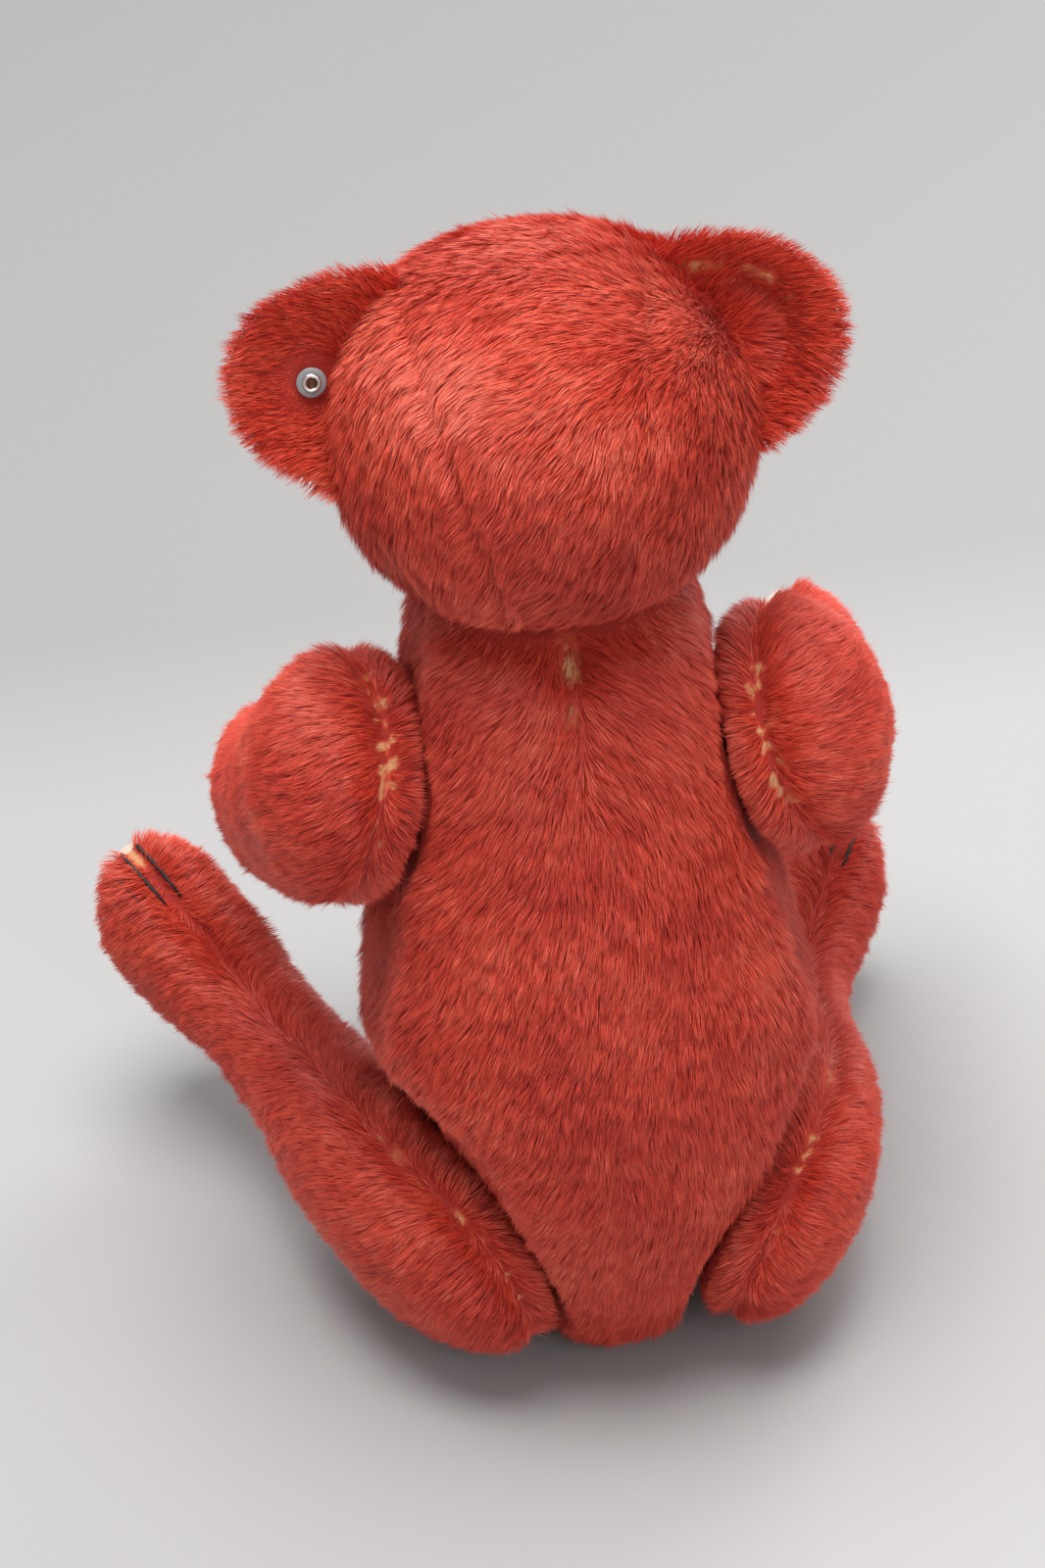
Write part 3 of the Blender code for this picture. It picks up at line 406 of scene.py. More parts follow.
def limb_surface(kind, side):
    at = arm_at if kind == "arm" else leg_at
    table = ARM if kind == "arm" else LEG
    last = len(table) - 1
    u, v = np.meshgrid(np.linspace(0, last, last * 8 + 1), np.linspace(-90, 270, 97)[:-1], indexing="ij")
    local = limb_local(at, u, v)
    s = surface(limb_place(kind, side)(local))
    us, vs = u.ravel(), v.ravel()
    flat = local.reshape(-1, 3)
    off = flat[:, 0] - at[4](us)
    d = np.abs(off)
    outer = smooth(0.5 + off / 4.0)
    ends = smooth((last - us) / 0.8)
    push(s, 1.3 * np.exp(-((d / 2.0) ** 2)) * ends)
    patchy = waves(5 + side, 11.0)(s["P"])
    fine = waves(9 + side, 3.2)(s["P"])
    top = np.sin(np.radians(vs)) > 0
    if kind == "arm":
        hand = smooth((4.2 - us) / 1.2) * (top | (us < 2.2))
        bare = np.exp(-(((d - 1.2) / 1.6) ** 2)) * hand * np.clip(1.2 * fine + 0.5 * patchy - 0.30, 0, 0.75)
    else:
        back = smooth((6.0 - us) / 2.0) * top
        toe = smooth((us - 10.6) / 0.8) * top * (0.8 if side > 0 else 0.3)
        spots = np.clip(1.3 * fine + 0.6 * patchy - 0.2, 0, 1)
        bare = np.exp(-((d / 1.6) ** 2)) * (0.75 * back * spots + toe)
    pad = np.zeros(len(us))
    if kind == "arm":
        inner = (vs > 89) & (vs < 271)
        pad = np.where(inner & (us > ARM_PAD_FROM), 1.0, 0.0)
    else:
        pad = np.where(us > LEG_PAD_FROM, 1.0, 0.0)
    s["bare"] = np.clip(bare, 0, 1) * (1 - pad)
    axis = limb_frame(kind, side)[1] * FLIP[side]
    if kind == "arm":
        way = np.array((side * 0.75, -0.45, -0.50 if side > 0 else -0.22))
    else:
        way = np.array((side * 0.70, -0.45, -0.55))
    inside = np.array((-side * 0.35, -0.55, -0.55))
    F = outer[:, None] * way + (1 - outer)[:, None] * inside
    part = (np.sign(off) * np.exp(-((d / 4.5) ** 2)))[:, None]
    F = F + 0.55 * part * axis
    s["F"] = F
    s["long"] = np.ones(len(F))
    s["dens"] = (1 - pad) * np.ones(len(F))
    return s


EAR_W = 24.2
EAR_H = 32.0
EAR_LAYER = 3.6


def ear_frame():
    base = np.array((36.8, -1.9, 48.2 + NECK_Z))
    out = unit(np.array((0.96, 0.03, 0.26)))
    along = np.array((-0.30, -0.28, 0.91))
    along = unit(along - out * (along @ out))
    return base, along, out, np.cross(along, out)


def ear_local(r, degrees, layer):
    base, along, out, face = ear_frame()
    a = np.radians(degrees)
    u = EAR_W * r * np.cos(a)
    v = EAR_H * r * np.maximum(np.sin(a), 0.0) - 3.0
    cup = 7.5 * (u / EAR_W) ** 2 + 4.0 * (np.maximum(v, 0.0) / EAR_H) ** 2
    thin = 1.0 - 0.45 * r**3
    lift = cup + layer * EAR_LAYER * thin
    return base + along * u[..., None] + out * v[..., None] + face * lift[..., None]


def ear_surface(side):
    t, v = np.meshgrid(np.linspace(0, 180, 61), np.linspace(0, 180, 49), indexing="ij")
    a = np.radians(t)
    r = np.sin(a) ** 0.62
    layer = np.sign(np.cos(a)) * np.abs(np.cos(a)) ** 0.62
    s = surface(ear_local(r, v, layer) * FLIP[side], wrap=False)
    out = ear_frame()[2] * FLIP[side]
    layer, r, v = layer.ravel(), r.ravel(), v.ravel()
    behind = layer > 0
    fine = waves(12, 4.0)(s["P"])
    broad = waves(13, 11.0)(s["P"])
    if side < 0:
        d = (r - 0.74) * EAR_H
        hollow = np.exp(-(((r - 0.60) * EAR_H / 4.0) ** 2)) * behind
        push(s, 2.6 * hollow * smooth((v - 25) / 30))
        arc = smooth((95 - v) / 25)
        bare = np.exp(-((d / 1.9) ** 2)) * behind * arc * (0.62 + 0.45 * fine + 0.25 * broad)
        s["bare"] = np.clip(bare, 0, 0.85)
    else:
        rim = np.exp(-(((r - 1.0) / 0.06) ** 2)) * smooth((v - 120) / 30)
        s["bare"] = np.clip(0.55 * rim * (1 + 0.5 * fine), 0, 1)
    ray = s["P"] - (ear_frame()[0] * FLIP[side] + 4 * out)
    ray = unit(ray - s["N"] * np.einsum("ij,ij->i", ray, s["N"])[:, None])
    s["F"] = 0.75 * out + 0.6 * ray + np.array((0, 0, -0.28))
    s["long"] = np.ones(len(r)) * 0.92
    s["dens"] = np.ones(len(r))
    return s


# ---------------------------------------------------------------- materials


def principled(name, colour, rough, metal=0.0):
    mat = bpy.data.materials.new(name)
    mat.use_nodes = True
    shader = mat.node_tree.nodes["Principled BSDF"]
    shader.inputs["Base Color"].default_value = (*colour, 1.0)
    shader.inputs["Roughness"].default_value = rough
    shader.inputs["Metallic"].default_value = metal
    mat.diffuse_color = (*colour, 1.0)
    return mat, mat.node_tree, shader


def add(tree, kind, **values):
    node = tree.nodes.new(kind)
    for key, value in values.items():
        if key in node.inputs:
            node.inputs[key].default_value = value
        else:
            setattr(node, key, value)
    return node


def bumped(tree, shader, height, strength, distance):
    bump = add(tree, "ShaderNodeBump", Strength=strength, Distance=distance)
    tree.links.new(height, bump.inputs["Height"])
    tree.links.new(bump.outputs["Normal"], shader.inputs["Normal"])


def noise(tree, scale, detail=3.0, rough=0.6):
    coord = add(tree, "ShaderNodeTexCoord")
    node = add(tree, "ShaderNodeTexNoise", Scale=scale, Detail=detail, Roughness=rough)
    tree.links.new(coord.outputs["Object"], node.inputs["Vector"])
    return node


def ramp(tree, fac, stops):
    node = add(tree, "ShaderNodeValToRGB")
    ends = node.color_ramp.elements
    while len(ends) < len(stops):
        ends.new(0.5)
    for e, (at, colour) in zip(ends, stops):
        e.position, e.color = at, (*colour, 1.0)
    tree.links.new(fac, node.inputs["Fac"])
    return node


PILE_SHADES = (
    (0.330, 0.0130, 0.0060),
    (0.470, 0.0230, 0.0110),
    (0.600, 0.0400, 0.0190),
    (0.710, 0.0660, 0.0330),
    (0.800, 0.1100, 0.0600),
    (0.860, 0.1750, 0.1050),
)


def pile_materials():
    mats = []
    for k, colour in enumerate(PILE_SHADES):
        mat, _, shader = principled(f"mohair_pile_{k}", colour, 0.46)
        shader.inputs["Specular IOR Level"].default_value = 0.42
        shader.inputs["Sheen Weight"].default_value = 0.25
        shader.inputs["Sheen Roughness"].default_value = 0.35
        shader.inputs["Sheen Tint"].default_value = (1.0, 0.55, 0.48, 1.0)
        mats.append(mat)
    return mats


def backing_material():
    """Woven backing, dyed red, with undyed thread showing where the pile is worn or sewn in."""
    mat, tree, shader = principled("mohair_backing", (0.3, 0.02, 0.015), 0.85)
    bare = add(tree, "ShaderNodeAttribute", attribute_name="bare")
    speck = noise(tree, 900.0, 2.0)
    mix = add(tree, "ShaderNodeMath", operation="MULTIPLY_ADD")
    tree.links.new(speck.outputs["Fac"], mix.inputs[0])
    mix.inputs[1].default_value = 0.55
    tree.links.new(bare.outputs["Fac"], mix.inputs[2])
    colour = ramp(
        tree,
        mix.outputs[0],
        ((0.28, (0.34, 0.016, 0.008)), (0.55, (0.50, 0.050, 0.020)), (0.95, (0.62, 0.30, 0.13))),
    )
    tree.links.new(colour.outputs["Color"], shader.inputs["Base Color"])
    bumped(tree, shader, speck.outputs["Fac"], 0.5, 0.0004)
    return mat


def felt_material():
    mat, tree, shader = principled("pad_felt", (0.68, 0.52, 0.43), 0.95)
    fine, broad = noise(tree, 1400.0, 4.0, 0.7), noise(tree, 90.0, 3.0)
    colour = ramp(
        tree,
        broad.outputs["Fac"],
        ((0.3, (0.62, 0.46, 0.36)), (0.52, (0.70, 0.55, 0.45)), (0.7, (0.76, 0.63, 0.53))),
    )
    tree.links.new(colour.outputs["Color"], shader.inputs["Base Color"])
    bumped(tree, shader, fine.outputs["Fac"], 0.6, 0.0005)
    shader.inputs["Sheen Weight"].default_value = 0.3
    shader.inputs["Sheen Roughness"].default_value = 0.6
    return mat


def plain_material(name, colour, rough, metal=0.0, grain=600.0, spread=0.12, bump=0.2):
    """A finish with slight colour variation and a fine surface."""
    mat, tree, shader = principled(name, colour, rough, metal)
    n = noise(tree, grain, 3.0)
    dark = tuple(c * (1 - spread) for c in colour)
    light = tuple(min(1.0, c * (1 + spread)) for c in colour)
    tint = ramp(tree, n.outputs["Fac"], ((0.35, dark), (0.65, light)))
    tree.links.new(tint.outputs["Color"], shader.inputs["Base Color"])
    bumped(tree, shader, n.outputs["Fac"], bump, 0.0002)
    return mat


# ---------------------------------------------------------------- pieces


def mesh_object(name, verts, faces, mats, smooth_faces=True):
    mesh = bpy.data.meshes.new(name)
    mesh.from_pydata([tuple(v) for v in np.asarray(verts) * MM], [], [list(map(int, f)) for f in faces])
    for mat in mats:
        mesh.materials.append(mat)
    obj = bpy.data.objects.new(name, mesh)
    bpy.context.scene.collection.objects.link(obj)
    if smooth_faces:
        mesh.polygons.foreach_set("use_smooth", [True] * len(mesh.polygons))
    return obj


def weld(obj, dist=1e-6):
    bm = bmesh.new()
    bm.from_mesh(obj.data)
    bmesh.ops.remove_doubles(bm, verts=bm.verts, dist=dist)
    bmesh.ops.dissolve_degenerate(bm, edges=bm.edges, dist=1e-7)
    bm.to_mesh(obj.data)
    bm.free()


def skin(name, body, s, nodes, mat):
    obj = mesh_object(name, s["P"], s["quads"], [mat])
    value = obj.data.attributes.new("bare", "FLOAT", "POINT")
    value.data.foreach_set("value", s["bare"].astype(np.float32))
    weld(obj)
    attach(obj, body)
    if nodes:
        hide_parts(*nodes)
    return obj


def thread(points, radius, sides=6, ends=True):
    """A round thread along the points, as vertices and faces."""
    pts = [np.asarray(p, float) for p in points]
    verts, faces = [], []
    across = None
    for i, p in enumerate(pts):
        along = unit(pts[min(i + 1, len(pts) - 1)] - pts[max(i - 1, 0)])
        if across is None:
            guide = np.array((0.0, 0.0, 1.0)) if abs(along[2]) < 0.9 else np.array((0.0, 1.0, 0.0))
            across = unit(guide - along * (guide @ along))
        across = unit(across - along * (across @ along))
        other = np.cross(along, across)
        r = radius * (0.55 if ends and i in (0, len(pts) - 1) else 1.0)
        for j in range(sides):
            a = 2 * math.pi * j / sides
            verts.append(p + (across * math.cos(a) + other * math.sin(a)) * r)
    for i in range(len(pts) - 1):
        for j in range(sides):
            m = (j + 1) % sides
            faces.append((i * sides + j, i * sides + m, (i + 1) * sides + m, (i + 1) * sides + j))
    last = (len(pts) - 1) * sides
    faces.append(tuple(range(sides))[::-1])
    faces.append(tuple(last + j for j in range(sides)))
    return verts, faces


def join(parts):
    verts, faces = [], []
    for v, f in parts:
        base = len(verts)
        verts += list(v)
        faces += [tuple(base + i for i in face) for face in f]
    return verts, faces


def lathe(profile, sides, place):
    """A profile of (along, radius) points turned about the local X axis."""
    verts, faces, starts = [], [], []
    closed = profile[0] == profile[-1]
    stations = profile[:-1] if closed else profile
    for along, radius in stations:
        starts.append(len(verts))
        if radius < 1e-6:
            verts.append(np.array((along, 0.0, 0.0)))
        else:
            for j in range(sides):
                a = 2 * math.pi * j / sides
                verts.append(np.array((along, radius * math.cos(a), radius * math.sin(a))))
    count = len(stations)
    for i in range(count if closed else count - 1):
        k = (i + 1) % count
        one, two = stations[i][1] < 1e-6, stations[k][1] < 1e-6
        for j in range(sides):
            m = (j + 1) % sides
            face = [starts[i] + (0 if one else j), starts[k] + (0 if two else j)]
            face += [starts[k] + (0 if two else m), starts[i] + (0 if one else m)]
            clean = list(dict.fromkeys(face))
            if len(clean) > 2:
                faces.append(clean)
    return [place(v) for v in verts], faces


def outward(obj):
    bm = bmesh.new()
    bm.from_mesh(obj.data)
    bmesh.ops.recalc_face_normals(bm, faces=bm.faces)
    bm.to_mesh(obj.data)
    bm.free()
    return obj


# ---------------------------------------------------------------- pile


def prepare(surfaces):
    """Finds the room before the next body, and lays the flow along each surface."""
    trees = {}
    for body, s in surfaces.values():
        trees.setdefault(body, []).append(
            BVHTree.FromPolygons([tuple(p) for p in s["P"]], [tuple(map(int, t)) for t in s["tris"]])
        )
    for body, s in surfaces.values():
        room = np.full(len(s["P"]), ROOM_SEEN)
        for other, many in trees.items():
            if other == body:
                continue
            for tree in many:
                for i, p in enumerate(s["P"]):
                    found = tree.find_nearest(tuple(p), ROOM_SEEN)
                    if found[3] is not None and found[3] < room[i]:
                        room[i] = found[3]
        s["room"] = room
        s.setdefault("tone", np.zeros(len(s["P"])))
        F = s["F"] - s["N"] * np.einsum("ij,ij->i", s["F"], s["N"])[:, None]
        weak = np.linalg.norm(F, axis=1) < 0.05
        F[weak] = np.cross(s["N"][weak], np.array((0.3, 0.9, 0.2)))
        s["F"] = unit(F)


wide_turn, mid_turn, small_turn = waves(31, 60.0), waves(32, 20.0), waves(33, 5.0)
wide_lift, small_lift = waves(34, 30.0), waves(35, 4.0)
wide_shade, mid_shade = waves(36, 34.0), waves(37, 9.0)


def strands(s, keep_out):
    """Roots and tips of the pile on one surface, as arrays."""
    tris, P = s["tris"], s["P"]
    cross = np.cross(P[tris[:, 1]] - P[tris[:, 0]], P[tris[:, 2]] - P[tris[:, 0]])
    area = np.linalg.norm(cross, axis=1) / 2
    worn = 1 - 0.90 * smooth((s["bare"] - 0.12) / 0.6)
    tight = 0.35 + 0.65 * smooth((s["room"] - 1.0) / 3.0)
    want = area * (s["dens"] * worn * tight)[tris].mean(1) * PILE_PER_MM2
    total = want.sum()
    n = int(total)
    pick = np.minimum(np.searchsorted(np.cumsum(want), rng.random(n) * total), len(tris) - 1)
    r1, r2 = np.sqrt(rng.random(n)), rng.random(n)
    mix = np.stack([1 - r1, r1 * (1 - r2), r1 * r2], 1)
    at = lambda a: np.einsum("nk,nk...->n...", mix, a[tris[pick]])
    root, N, F = at(P), unit(at(s["N"])), unit(at(s["F"]))
    room, length, light = at(s["room"]), at(s["long"]), at(s["tone"])
    for spot, near, far in keep_out:
        away = np.linalg.norm(root - spot, axis=1)
        length = length * (0.25 + 0.75 * smooth((away - near) / (far - near)))
        keep = away > near * 0.8
        root, N, F, room, length, light = (a[keep] for a in (root, N, F, room, length, light))
    n = len(root)
    F = unit(F - N * np.einsum("ij,ij->i", F, N)[:, None])
    turn = 0.14 * wide_turn(root) + 0.11 * mid_turn(root) + 0.08 * small_turn(root)
    turn += rng.normal(0, 0.10, n)
    T = F * np.cos(turn)[:, None] + np.cross(N, F) * np.sin(turn)[:, None]
    free = smooth((room - 0.8) / 7.0)
    L = PILE * length * (0.22 + 0.78 * free) * rng.uniform(0.80, 1.12, n)
    L *= 1 + 0.07 * small_lift(root)
    stray = rng.random(n) < STRAY_SHARE
    L = np.where(stray, L * 1.15, L)
    rise = np.radians(PILE_RISE + 4 * wide_lift(root) + 3 * small_lift(root) + rng.normal(0, 5, n))
    fall = np.radians(PILE_FALL + 3 * wide_lift(root) + 2 * small_lift(root) + rng.normal(0, 5, n))
    rise = np.where(stray, rise + 0.22, rise) * (0.25 + 0.75 * free)
    fall = np.where(stray, fall + 0.22, fall) * (0.25 + 0.75 * free)
    points = [root - N * 0.3]
    for k in range(3):
        a = rise + (fall - rise) * (k + 0.5) / 3
        d = T * np.cos(a)[:, None] + N * np.sin(a)[:, None]
        points.append(points[-1] + d * (L / 3)[:, None])
    points = np.stack(points, 1)
    count = max(1, int(n / (PILE_PER_MM2 * LOCK_AREA)))
    heads = rng.choice(n, count, replace=False)
    tree = KDTree(count)
    for i, h in enumerate(heads):
        tree.insert(root[h], i)
    tree.balance()
    clump = np.array([tree.find(p)[1] for p in root])
    lead = heads[clump]
    pull = (rng.uniform(0.15, 0.65, count)[clump] * rng.uniform(0.6, 1.0, n))[:, None]
    for k, share in ((1, 0.15), (2, 0.5), (3, 0.9)):
        points[:, k] += (points[lead, k] - points[:, k]) * pull * share
    tone = 0.40 * wide_shade(root) + 0.25 * mid_shade(root) + rng.normal(0, 0.45, count)[clump]
    # light adds the painted highlight of the head's top to each tuft's shade
    tone += rng.normal(0, 0.5, n) + np.where(stray, 0.8, 0) + light
    points[..., 2] = np.maximum(points[..., 2], FLOOR_CLEAR + 0.15)
    return {"points": points, "N": N, "tone": tone}


def pile(name, body, s, mats, keep_out):
    """Tufts as flat strips of one quad and one triangle, in several pieces."""
    made = strands(s, keep_out)
    points, N = made["points"], made["N"]
    n = len(points)
    base = np.clip(np.round(2.0 + 0.8 * made["tone"]), 0, 4).astype(np.int32)
    d = unit(points[:, 3] - points[:, 0])
    S = unit(np.cross(d, N))
    twist = rng.normal(0, 0.38, n)[:, None]
    side = S * np.cos(twist) + np.cross(d, S) * np.sin(twist)
    half = PILE_W / 2 * rng.uniform(0.75, 1.25, n)
    verts = np.empty((n, 5, 3))
    middle = (points[:, 1] + points[:, 2]) / 2
    for k, spot in ((0, points[:, 0]), (1, middle)):
        shift = side * (half * (1.0 - 0.12 * k))[:, None]
        verts[:, 2 * k] = spot - shift
        verts[:, 2 * k + 1] = spot + shift
    verts[:, 4] = points[:, 3]
    verts[..., 2] = np.maximum(verts[..., 2], FLOOR_CLEAR)
    order = rng.permutation(n)
    for number, start in enumerate(range(0, n, PIECE_TUFTS)):
        chosen = order[start : start + PIECE_TUFTS]
        m = len(chosen)
        mesh = bpy.data.meshes.new(f"{name}_{number + 1}")
        mesh.vertices.add(m * 5)
        mesh.vertices.foreach_set("co", (verts[chosen] * MM).astype(np.float32).ravel())
        loop = np.array((0, 1, 3, 2, 2, 3, 4), np.int32)
        loops = (loop[None] + 5 * np.arange(m, dtype=np.int32)[:, None]).ravel()
        mesh.loops.add(len(loops))
        mesh.loops.foreach_set("vertex_index", loops)
        mesh.polygons.add(m * 2)
        starts = (np.array((0, 4), np.int32)[None] + 7 * np.arange(m, dtype=np.int32)[:, None]).ravel()
        mesh.polygons.foreach_set("loop_start", starts)
        # Root strip takes the tuft's shade and tip triangle the next lighter one: painted shade at the
        # root, painted highlight at the tip
        b = base[chosen]
        index = np.stack([b, np.minimum(b + 1, 5)], 1).astype(np.int32)
        mesh.polygons.foreach_set("material_index", index.ravel())
        mesh.polygons.foreach_set("use_smooth", np.ones(m * 2, bool))
        for mat in mats:
            mesh.materials.append(mat)
        mesh.update(calc_edges=True)
        obj = bpy.data.objects.new(mesh.name, mesh)
        bpy.context.scene.collection.objects.link(obj)
        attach(obj, body)


# ---------------------------------------------------------------- make the bear

surfaces = {
    "torso": ("torso", torso_surface()),
    "head": ("head", head_surface()),
    "left_ear": ("head", ear_surface(1)),
    "right_ear": ("head", ear_surface(-1)),
}
for word, side in (("left", 1), ("right", -1)):
    surfaces[f"{word}_arm"] = (f"{word}_arm", limb_surface("arm", side))
    surfaces[f"{word}_leg"] = (f"{word}_leg", limb_surface("leg", side))
prepare(surfaces)

backing = backing_material()
felt = felt_material()
black_thread = plain_material("black_thread", (0.012, 0.011, 0.012), 0.62, 0.0, 1500.0, 0.4, 0.5)
replaced = {
    "torso": ["torso_left_panel", "torso_right_panel"],
    "head": ["head_left_side", "head_right_side", "head_gusset"],
    "left_ear": ["left_ear_front", "left_ear_back"],
    "right_ear": ["right_ear_front", "right_ear_back"],
}
for word in ("left", "right"):
    for limb in ("arm", "leg"):
        key = f"{word}_{limb}"
        replaced[key] = [f"{key}_outer_panel", f"{key}_inner_panel"]
for key, (body, s) in surfaces.items():
    skin(f"{key}_skin", body, s, replaced[key], backing)

# Felt pads, laid on the skins
for word, side in (("left", 1), ("right", -1)):
    for kind in ("arm", "leg"):
        at = arm_at if kind == "arm" else leg_at
        last = (len(ARM) if kind == "arm" else len(LEG)) - 1
        if kind == "arm":
            us, vs = np.linspace(ARM_PAD_FROM, last, 60), np.linspace(90, 270, 61)
        else:
            us, vs = np.linspace(LEG_PAD_FROM, last, 30), np.linspace(-90, 270, 97)[:-1]
        u, v = np.meshgrid(us, vs, indexing="ij")
        local = limb_local(at, u, v)
        s = surface(limb_place(kind, side)(local), wrap=kind == "leg")
        if kind == "arm":
            inward = -limb_frame(kind, side)[1] * FLIP[side]
            if (s["N"] @ inward).mean() < 0:
                s["N"], s["quads"] = -s["N"], s["quads"][:, ::-1]
                s["tris"] = s["tris"][:, ::-1]
            edge = np.minimum((u - ARM_PAD_FROM) * 12, np.minimum(v - 90, 270 - v) * 0.35)
        else:
            ahead = limb_frame(kind, side)[2] * FLIP[side]
            if (s["N"] @ ahead).mean() < 0:
                s["N"], s["quads"] = -s["N"], s["quads"][:, ::-1]
                s["tris"] = s["tris"][:, ::-1]
            edge = (u - LEG_PAD_FROM) * 6
        rise = -1.2 + 2.0 * smooth(edge.ravel() / 2.2)
        s["P"] = s["P"] + s["N"] * rise[:, None]
        node = f"{word}_arm_paw_pad" if kind == "arm" else f"{word}_leg_foot_pad"
        pad = mesh_object(f"{word}_{'paw' if kind == 'arm' else 'foot'}_felt", s["P"], s["quads"], [felt])
        weld(pad)
        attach(pad, f"{word}_{kind}")
        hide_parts(node)

# Face


def head_spot(turn, lean, lift):
    p = head_point(np.array(turn, float), np.array(lean, float))
    a = head_point(np.array(turn + 0.5, float), np.array(lean, float))
    b = head_point(np.array(turn - 0.5, float), np.array(lean, float))
    c = head_point(np.array(turn, float), np.array(lean + 0.5, float))
    e = head_point(np.array(turn, float), np.array(lean - 0.5, float))
    n = unit(np.cross(a - b, c - e))
    if n @ (p - HEAD_HEART - np.array((0, 0, NECK_Z))) < 0:
        n = -n
    return p + n * lift, n


keep_out_head = []
eye_mat, _, eye_shader = principled("eye_glass", (0.010, 0.007, 0.005), 0.04)
eye_shader.inputs["Coat Weight"].default_value = 1.0
eye_shader.inputs["Coat Roughness"].default_value = 0.02
for word, side in (("left", 1), ("right", -1)):
    spot, n = head_spot(16.0, 24.0, 0.0)
    n = unit(n + np.array((0, -0.35, 0)))
    ey = unit(np.cross(n, np.array((0.0, 0.0, 1.0))))
    ez = np.cross(n, ey)
    place = lambda p: (spot + n * p[0] + ey * p[1] + ez * p[2]) * FLIP[side]
    dome = [(-3.2, 0.0), (-3.2, 2.4)]
    for k in range(1, 24):
        a = math.radians(-90 + 180 * k / 24)
        dome.append((0.8 + 0.75 * EYE_R * math.sin(a), EYE_R * math.cos(a)))
    dome.append((0.8 + 0.75 * EYE_R, 0.0))
    verts, faces = lathe(dome, 48, place)
    eye = outward(mesh_object(f"{word}_eye_dome", verts, faces, [eye_mat]))
    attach(eye, "head")
    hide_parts(f"{word}_eye")
    keep_out_head.append((spot * FLIP[side], 5.2, 11.0))

NOSE = ((0.5, 5.5), (-2.0, 7.6), (-5.0, 8.0), (-9.0, 6.0), (-12.0, 2.6), (-14.0, 0.9))
nose_half = curve([-s[0] for s in NOSE], [s[1] for s in NOSE])
nose_parts = []
lines = 17
for k in range(lines):
    share = -1 + 2 * k / (lines - 1)
    offset = share * 7.6
    turns = [t for t in np.linspace(0.5, -13.5, 40) if nose_half(-t) >= abs(offset) - 0.3]
    if len(turns) < 3:
        continue
    path = []
    steps = np.linspace(turns[0], turns[-1], 12)
    for i, t in enumerate(steps):
        reach = np.linalg.norm(head_spot(t, 0.0, 0.0)[0] - HEAD_HEART - np.array((0, 0, NECK_Z)))
        lean = math.degrees(math.atan2(offset, reach))
        swell = 0.7 + 0.9 * math.sin(math.pi * i / 11) + 0.12 * (k % 2)
        path.append(head_spot(t, lean, swell)[0])
    nose_parts.append(thread(path, 0.56, 7))
path = [head_spot(t, 0.0, 0.7)[0] for t in np.linspace(-12.0, -24.5, 9)]
nose_parts.append(thread(path, 0.62, 7))
verts, faces = join(nose_parts)
nose = mesh_object("nose_threads", verts, faces, [black_thread])
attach(nose, "head")
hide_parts("nose_stitching")

mouth_parts = []
for sign in (1, -1):
    path = []
    for k in range(9):
        t = k / 8
        path.append(head_spot(-24.5 - 12.5 * t**1.3, sign * 15.5 * t, 0.7 + 0.3 * math.sin(math.pi * t))[0])
    mouth_parts.append(thread(path, 0.62, 7))
verts, faces = join(mouth_parts)
mouth = mesh_object("mouth_threads", verts, faces, [black_thread])
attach(mouth, "head")
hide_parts("mouth_stitching")
for t in (-2.0, -7.0, -12.0):
    keep_out_head.append((head_spot(t, 0.0, 0.0)[0], 6.5, 9.5))
for t in (-16.0, -20.0, -24.0):
    keep_out_head.append((head_spot(t, 0.0, 0.0)[0], 1.6, 5.0))
for sign in (1, -1):
    for k in range(1, 8):
        t = k / 8
        spot = head_spot(-24.5 - 12.5 * t**1.3, sign * 15.5 * t, 0.0)[0]
        keep_out_head.append((spot, 1.2, 4.5))

# Ear button, with its eyelet and washer on the back of the ear
base, along, out, face = ear_frame()
button_spot = ear_local(np.array(0.0), np.array(0.0), np.array(0.0)) + out * 15.5 - along * 1.0 + face * 0.8
button_place = lambda p: button_spot - face * p[0] + along * p[1] - out * p[2]
metal, metal_tree, metal_shader = principled("button_steel", (0.74, 0.72, 0.69), 0.24, 1.0)
brush = noise(metal_tree, 2600.0, 2.0)
bumped(metal_tree, metal_shader, brush.outputs["Fac"], 0.15, 0.0001)
washer_mat, _, washer_shader = principled("washer_clear", (0.36, 0.37, 0.38), 0.28)
washer_shader.inputs["Transmission Weight"].default_value = 0.35
# Painted shade: a dark brown plug fills the eyelet's hole in place of its dark hollow
eyelet_shade = plain_material("eyelet_hollow", (0.16, 0.055, 0.022), 0.7, 0.0, 900.0, 0.4)
head_cap = [(4.1, 0.0), (4.1, 3.0)]
for k in range(0, 9):
    a = math.radians(90 * k / 8)
    head_cap.append((4.2 + 1.7 * math.sin(a), 3.1 * math.cos(a)))
head_cap[-1] = (5.9, 0.0)
tube = [(4.2, 0.8), (4.2, 1.3), (-5.2, 1.3)]
for k in range(1, 12):
    a = math.radians(-90 + 180 * k / 12)
    tube.append((-5.35 - 0.42 * math.cos(a), 1.62 + 0.45 * math.sin(-a)))
tube += [(-5.2, 1.17), (4.2, 0.8)]
verts, faces = join([lathe(head_cap, 40, button_place), lathe(tube, 40, button_place)])
button = outward(mesh_object("ear_button_cap", verts, faces, [metal]))
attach(button, "head")
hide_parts("ear_button")
ring = []
for k in range(16):
    a = 2 * math.pi * k / 16
    ring.append((-4.75 + 0.38 * math.copysign(abs(math.cos(a)) ** 0.7, math.cos(a)),
                 2.35 + 0.95 * math.copysign(abs(math.sin(a)) ** 0.7, math.sin(a))))
ring.append(ring[0])
verts, faces = lathe(ring, 48, button_place)
washer = outward(mesh_object("ear_washer_ring", verts, faces, [washer_mat]))
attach(washer, "head")
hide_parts("ear_button_washer")
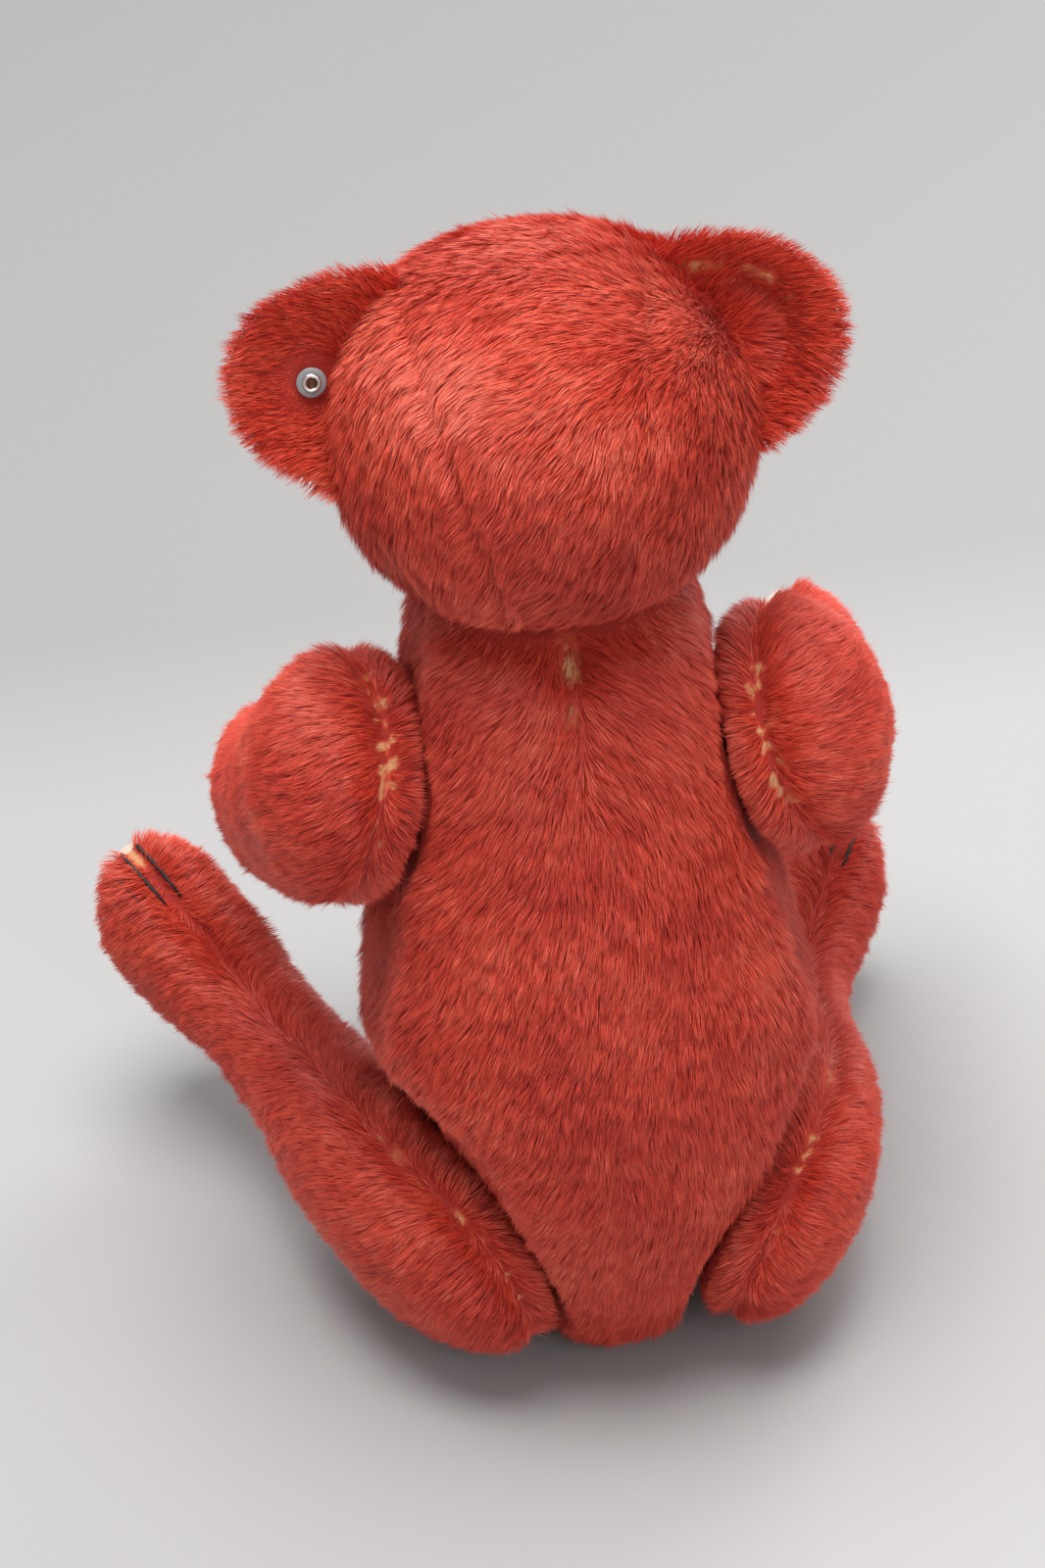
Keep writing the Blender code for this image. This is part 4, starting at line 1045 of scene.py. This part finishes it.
# Plug in the eyelet's hole, coloured as painted shade of the hollow
verts, faces = lathe([(-4.6, 0.0), (-4.6, 1.2), (-3.9, 1.2), (-3.9, 0.0)], 24, button_place)
hollow = outward(mesh_object("ear_eyelet_hollow", verts, faces, [eyelet_shade]))
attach(hollow, "head")
keep_out_ear = [(button_place((-3.6, 0, 0)), 4.8, 10.5), (button_place((3.6, 0, 0)), 3.4, 8.0)]

# Claws: separate stitches over each toe
for word, side in (("left", 1), ("right", -1)):
    place = limb_place("leg", side)
    parts, keep_out_leg = [], []
    for degrees in (50.0, 66.0, 82.0, 98.0, 114.0):
        path = []
        for u in np.linspace(12.3, 9.9, 8):
            p = limb_local(leg_at, np.array(u), np.array(degrees))
            a = limb_local(leg_at, np.array(u + 0.05), np.array(degrees))
            b = limb_local(leg_at, np.array(u), np.array(degrees + 1.0))
            n = unit(np.cross(a - p, b - p))
            if n @ (p - np.array((15.0, p[1], 10.0))) < 0:
                n = -n
            lift = 0.45 if 10.0 < u < 12.2 else 0.0
            path.append(place((p + n * lift)[None])[0])
            if 10.2 < u < 12.2:
                keep_out_leg.append((place(p[None])[0], 0.2, 1.6))
        parts.append(thread(path, 0.5, 7))
    verts, faces = join(parts)
    claws = mesh_object(f"{word}_claw_threads", verts, faces, [black_thread])
    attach(claws, f"{word}_leg")
    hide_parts(f"{word}_foot_claws")
    surfaces[f"{word}_leg"][1]["keep_out"] = keep_out_leg

# Hidden parts keep their CAD shape and get a finish
finishes = {
    "stuffing": plain_material("fill_fibre", (0.62, 0.52, 0.36), 1.0, 0.0, 260.0, 0.25, 0.6),
    "hardboard": plain_material("disc_board", (0.26, 0.14, 0.07), 0.8, 0.0, 300.0, 0.25, 0.3),
    "steel": plain_material("pin_steel", (0.55, 0.55, 0.56), 0.35, 1.0, 1200.0, 0.06, 0.1),
}
for name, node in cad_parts.items():
    finish = None
    if name.endswith("_stuffing"):
        finish = finishes["stuffing"]
    elif name.endswith("_disc"):
        finish = finishes["hardboard"]
    elif name.endswith("_washer") and name != "ear_button_washer" or name.endswith("_pin"):
        finish = finishes["steel"]
    if finish:
        for material_slot in node.material_slots:
            material_slot.material = finish

# Pile
shades = pile_materials()
for key, (body, s) in surfaces.items():
    keep_out = s.get("keep_out", [])
    if key == "head":
        keep_out = keep_out_head
    elif key == "left_ear":
        keep_out = keep_out_ear
    pile(f"{key}_pile", body, s, shades, keep_out)

# ---------------------------------------------------------------- stage


def look(azimuth, elevation, distance, target, roll):
    a, e = math.radians(azimuth), math.radians(elevation)
    back = Vector((math.sin(a) * math.cos(e), -math.cos(a) * math.cos(e), math.sin(e)))
    turn = (-back).to_track_quat("-Z", "Y").to_matrix().to_4x4()
    turn = turn @ Matrix.Rotation(math.radians(roll), 4, "Z")
    return Matrix.Translation(Vector(target) + back * distance) @ turn


lens = bpy.data.cameras.new("camera")
lens.lens = 72.5
lens.sensor_fit = "VERTICAL"
lens.sensor_height = 24.0
camera = bpy.data.objects.new("camera", lens)
bpy.context.scene.collection.objects.link(camera)
camera.matrix_world = look(177.34, 32.91, 1.1015, (0.010, -0.02, 0.1375), -5.05)
lens.clip_start = 0.01
bpy.context.scene.camera = camera

# Painted shade: the floor darkens from y = -0.22 m to -0.36 m, away from the camera, standing in for the
# dimmer backdrop
floor_mat, floor_tree, floor_shader = principled("stage_floor", (0.49, 0.487, 0.484), 0.6)
spot = add(floor_tree, "ShaderNodeTexCoord")
split = add(floor_tree, "ShaderNodeSeparateXYZ")
floor_tree.links.new(spot.outputs["Object"], split.inputs[0])
span = add(floor_tree, "ShaderNodeMapRange")
for key, value in (("From Min", -0.36), ("From Max", -0.22)):
    span.inputs[key].default_value = value
floor_tree.links.new(split.outputs["Y"], span.inputs["Value"])
tone = ramp(floor_tree, span.outputs[0], ((0.15, (0.355, 0.350, 0.348)), (0.85, (0.435, 0.432, 0.432))))
floor_tree.links.new(tone.outputs["Color"], floor_shader.inputs["Base Color"])
floor = mesh_object(
    "stage_floor", [(-4000, -4000, 0), (4000, -4000, 0), (4000, 4000, 0), (-4000, 4000, 0)],
    [(0, 1, 2, 3)], [floor_mat],
)


def area_light(name, place, target, size, power, colour=(1.0, 1.0, 1.0)):
    data = bpy.data.lights.new(name, "AREA")
    data.shape, data.size, data.energy, data.color = "DISK", size, power, colour
    light = bpy.data.objects.new(name, data)
    bpy.context.scene.collection.objects.link(light)
    light.location = place
    light.rotation_euler = (Vector(target) - Vector(place)).to_track_quat("-Z", "Y").to_euler()


area_light("top_light", (0.05, 0.10, 1.7), (0, 0, 0.1), 1.2, 33.0, (1.0, 0.985, 0.97))
area_light("back_light", (-0.6, 1.4, 0.9), (0, 0, 0.12), 0.9, 5.5)
area_light("front_light", (-0.9, -1.4, 1.1), (0, 0, 0.12), 1.0, 13.0)
world = bpy.data.worlds.new("world")
world.use_nodes = True
world.node_tree.nodes["Background"].inputs["Color"].default_value = (0.80, 0.81, 0.83, 1.0)
world.node_tree.nodes["Background"].inputs["Strength"].default_value = 0.55
bpy.context.scene.world = world
bpy.context.scene.view_settings.view_transform = "Standard"
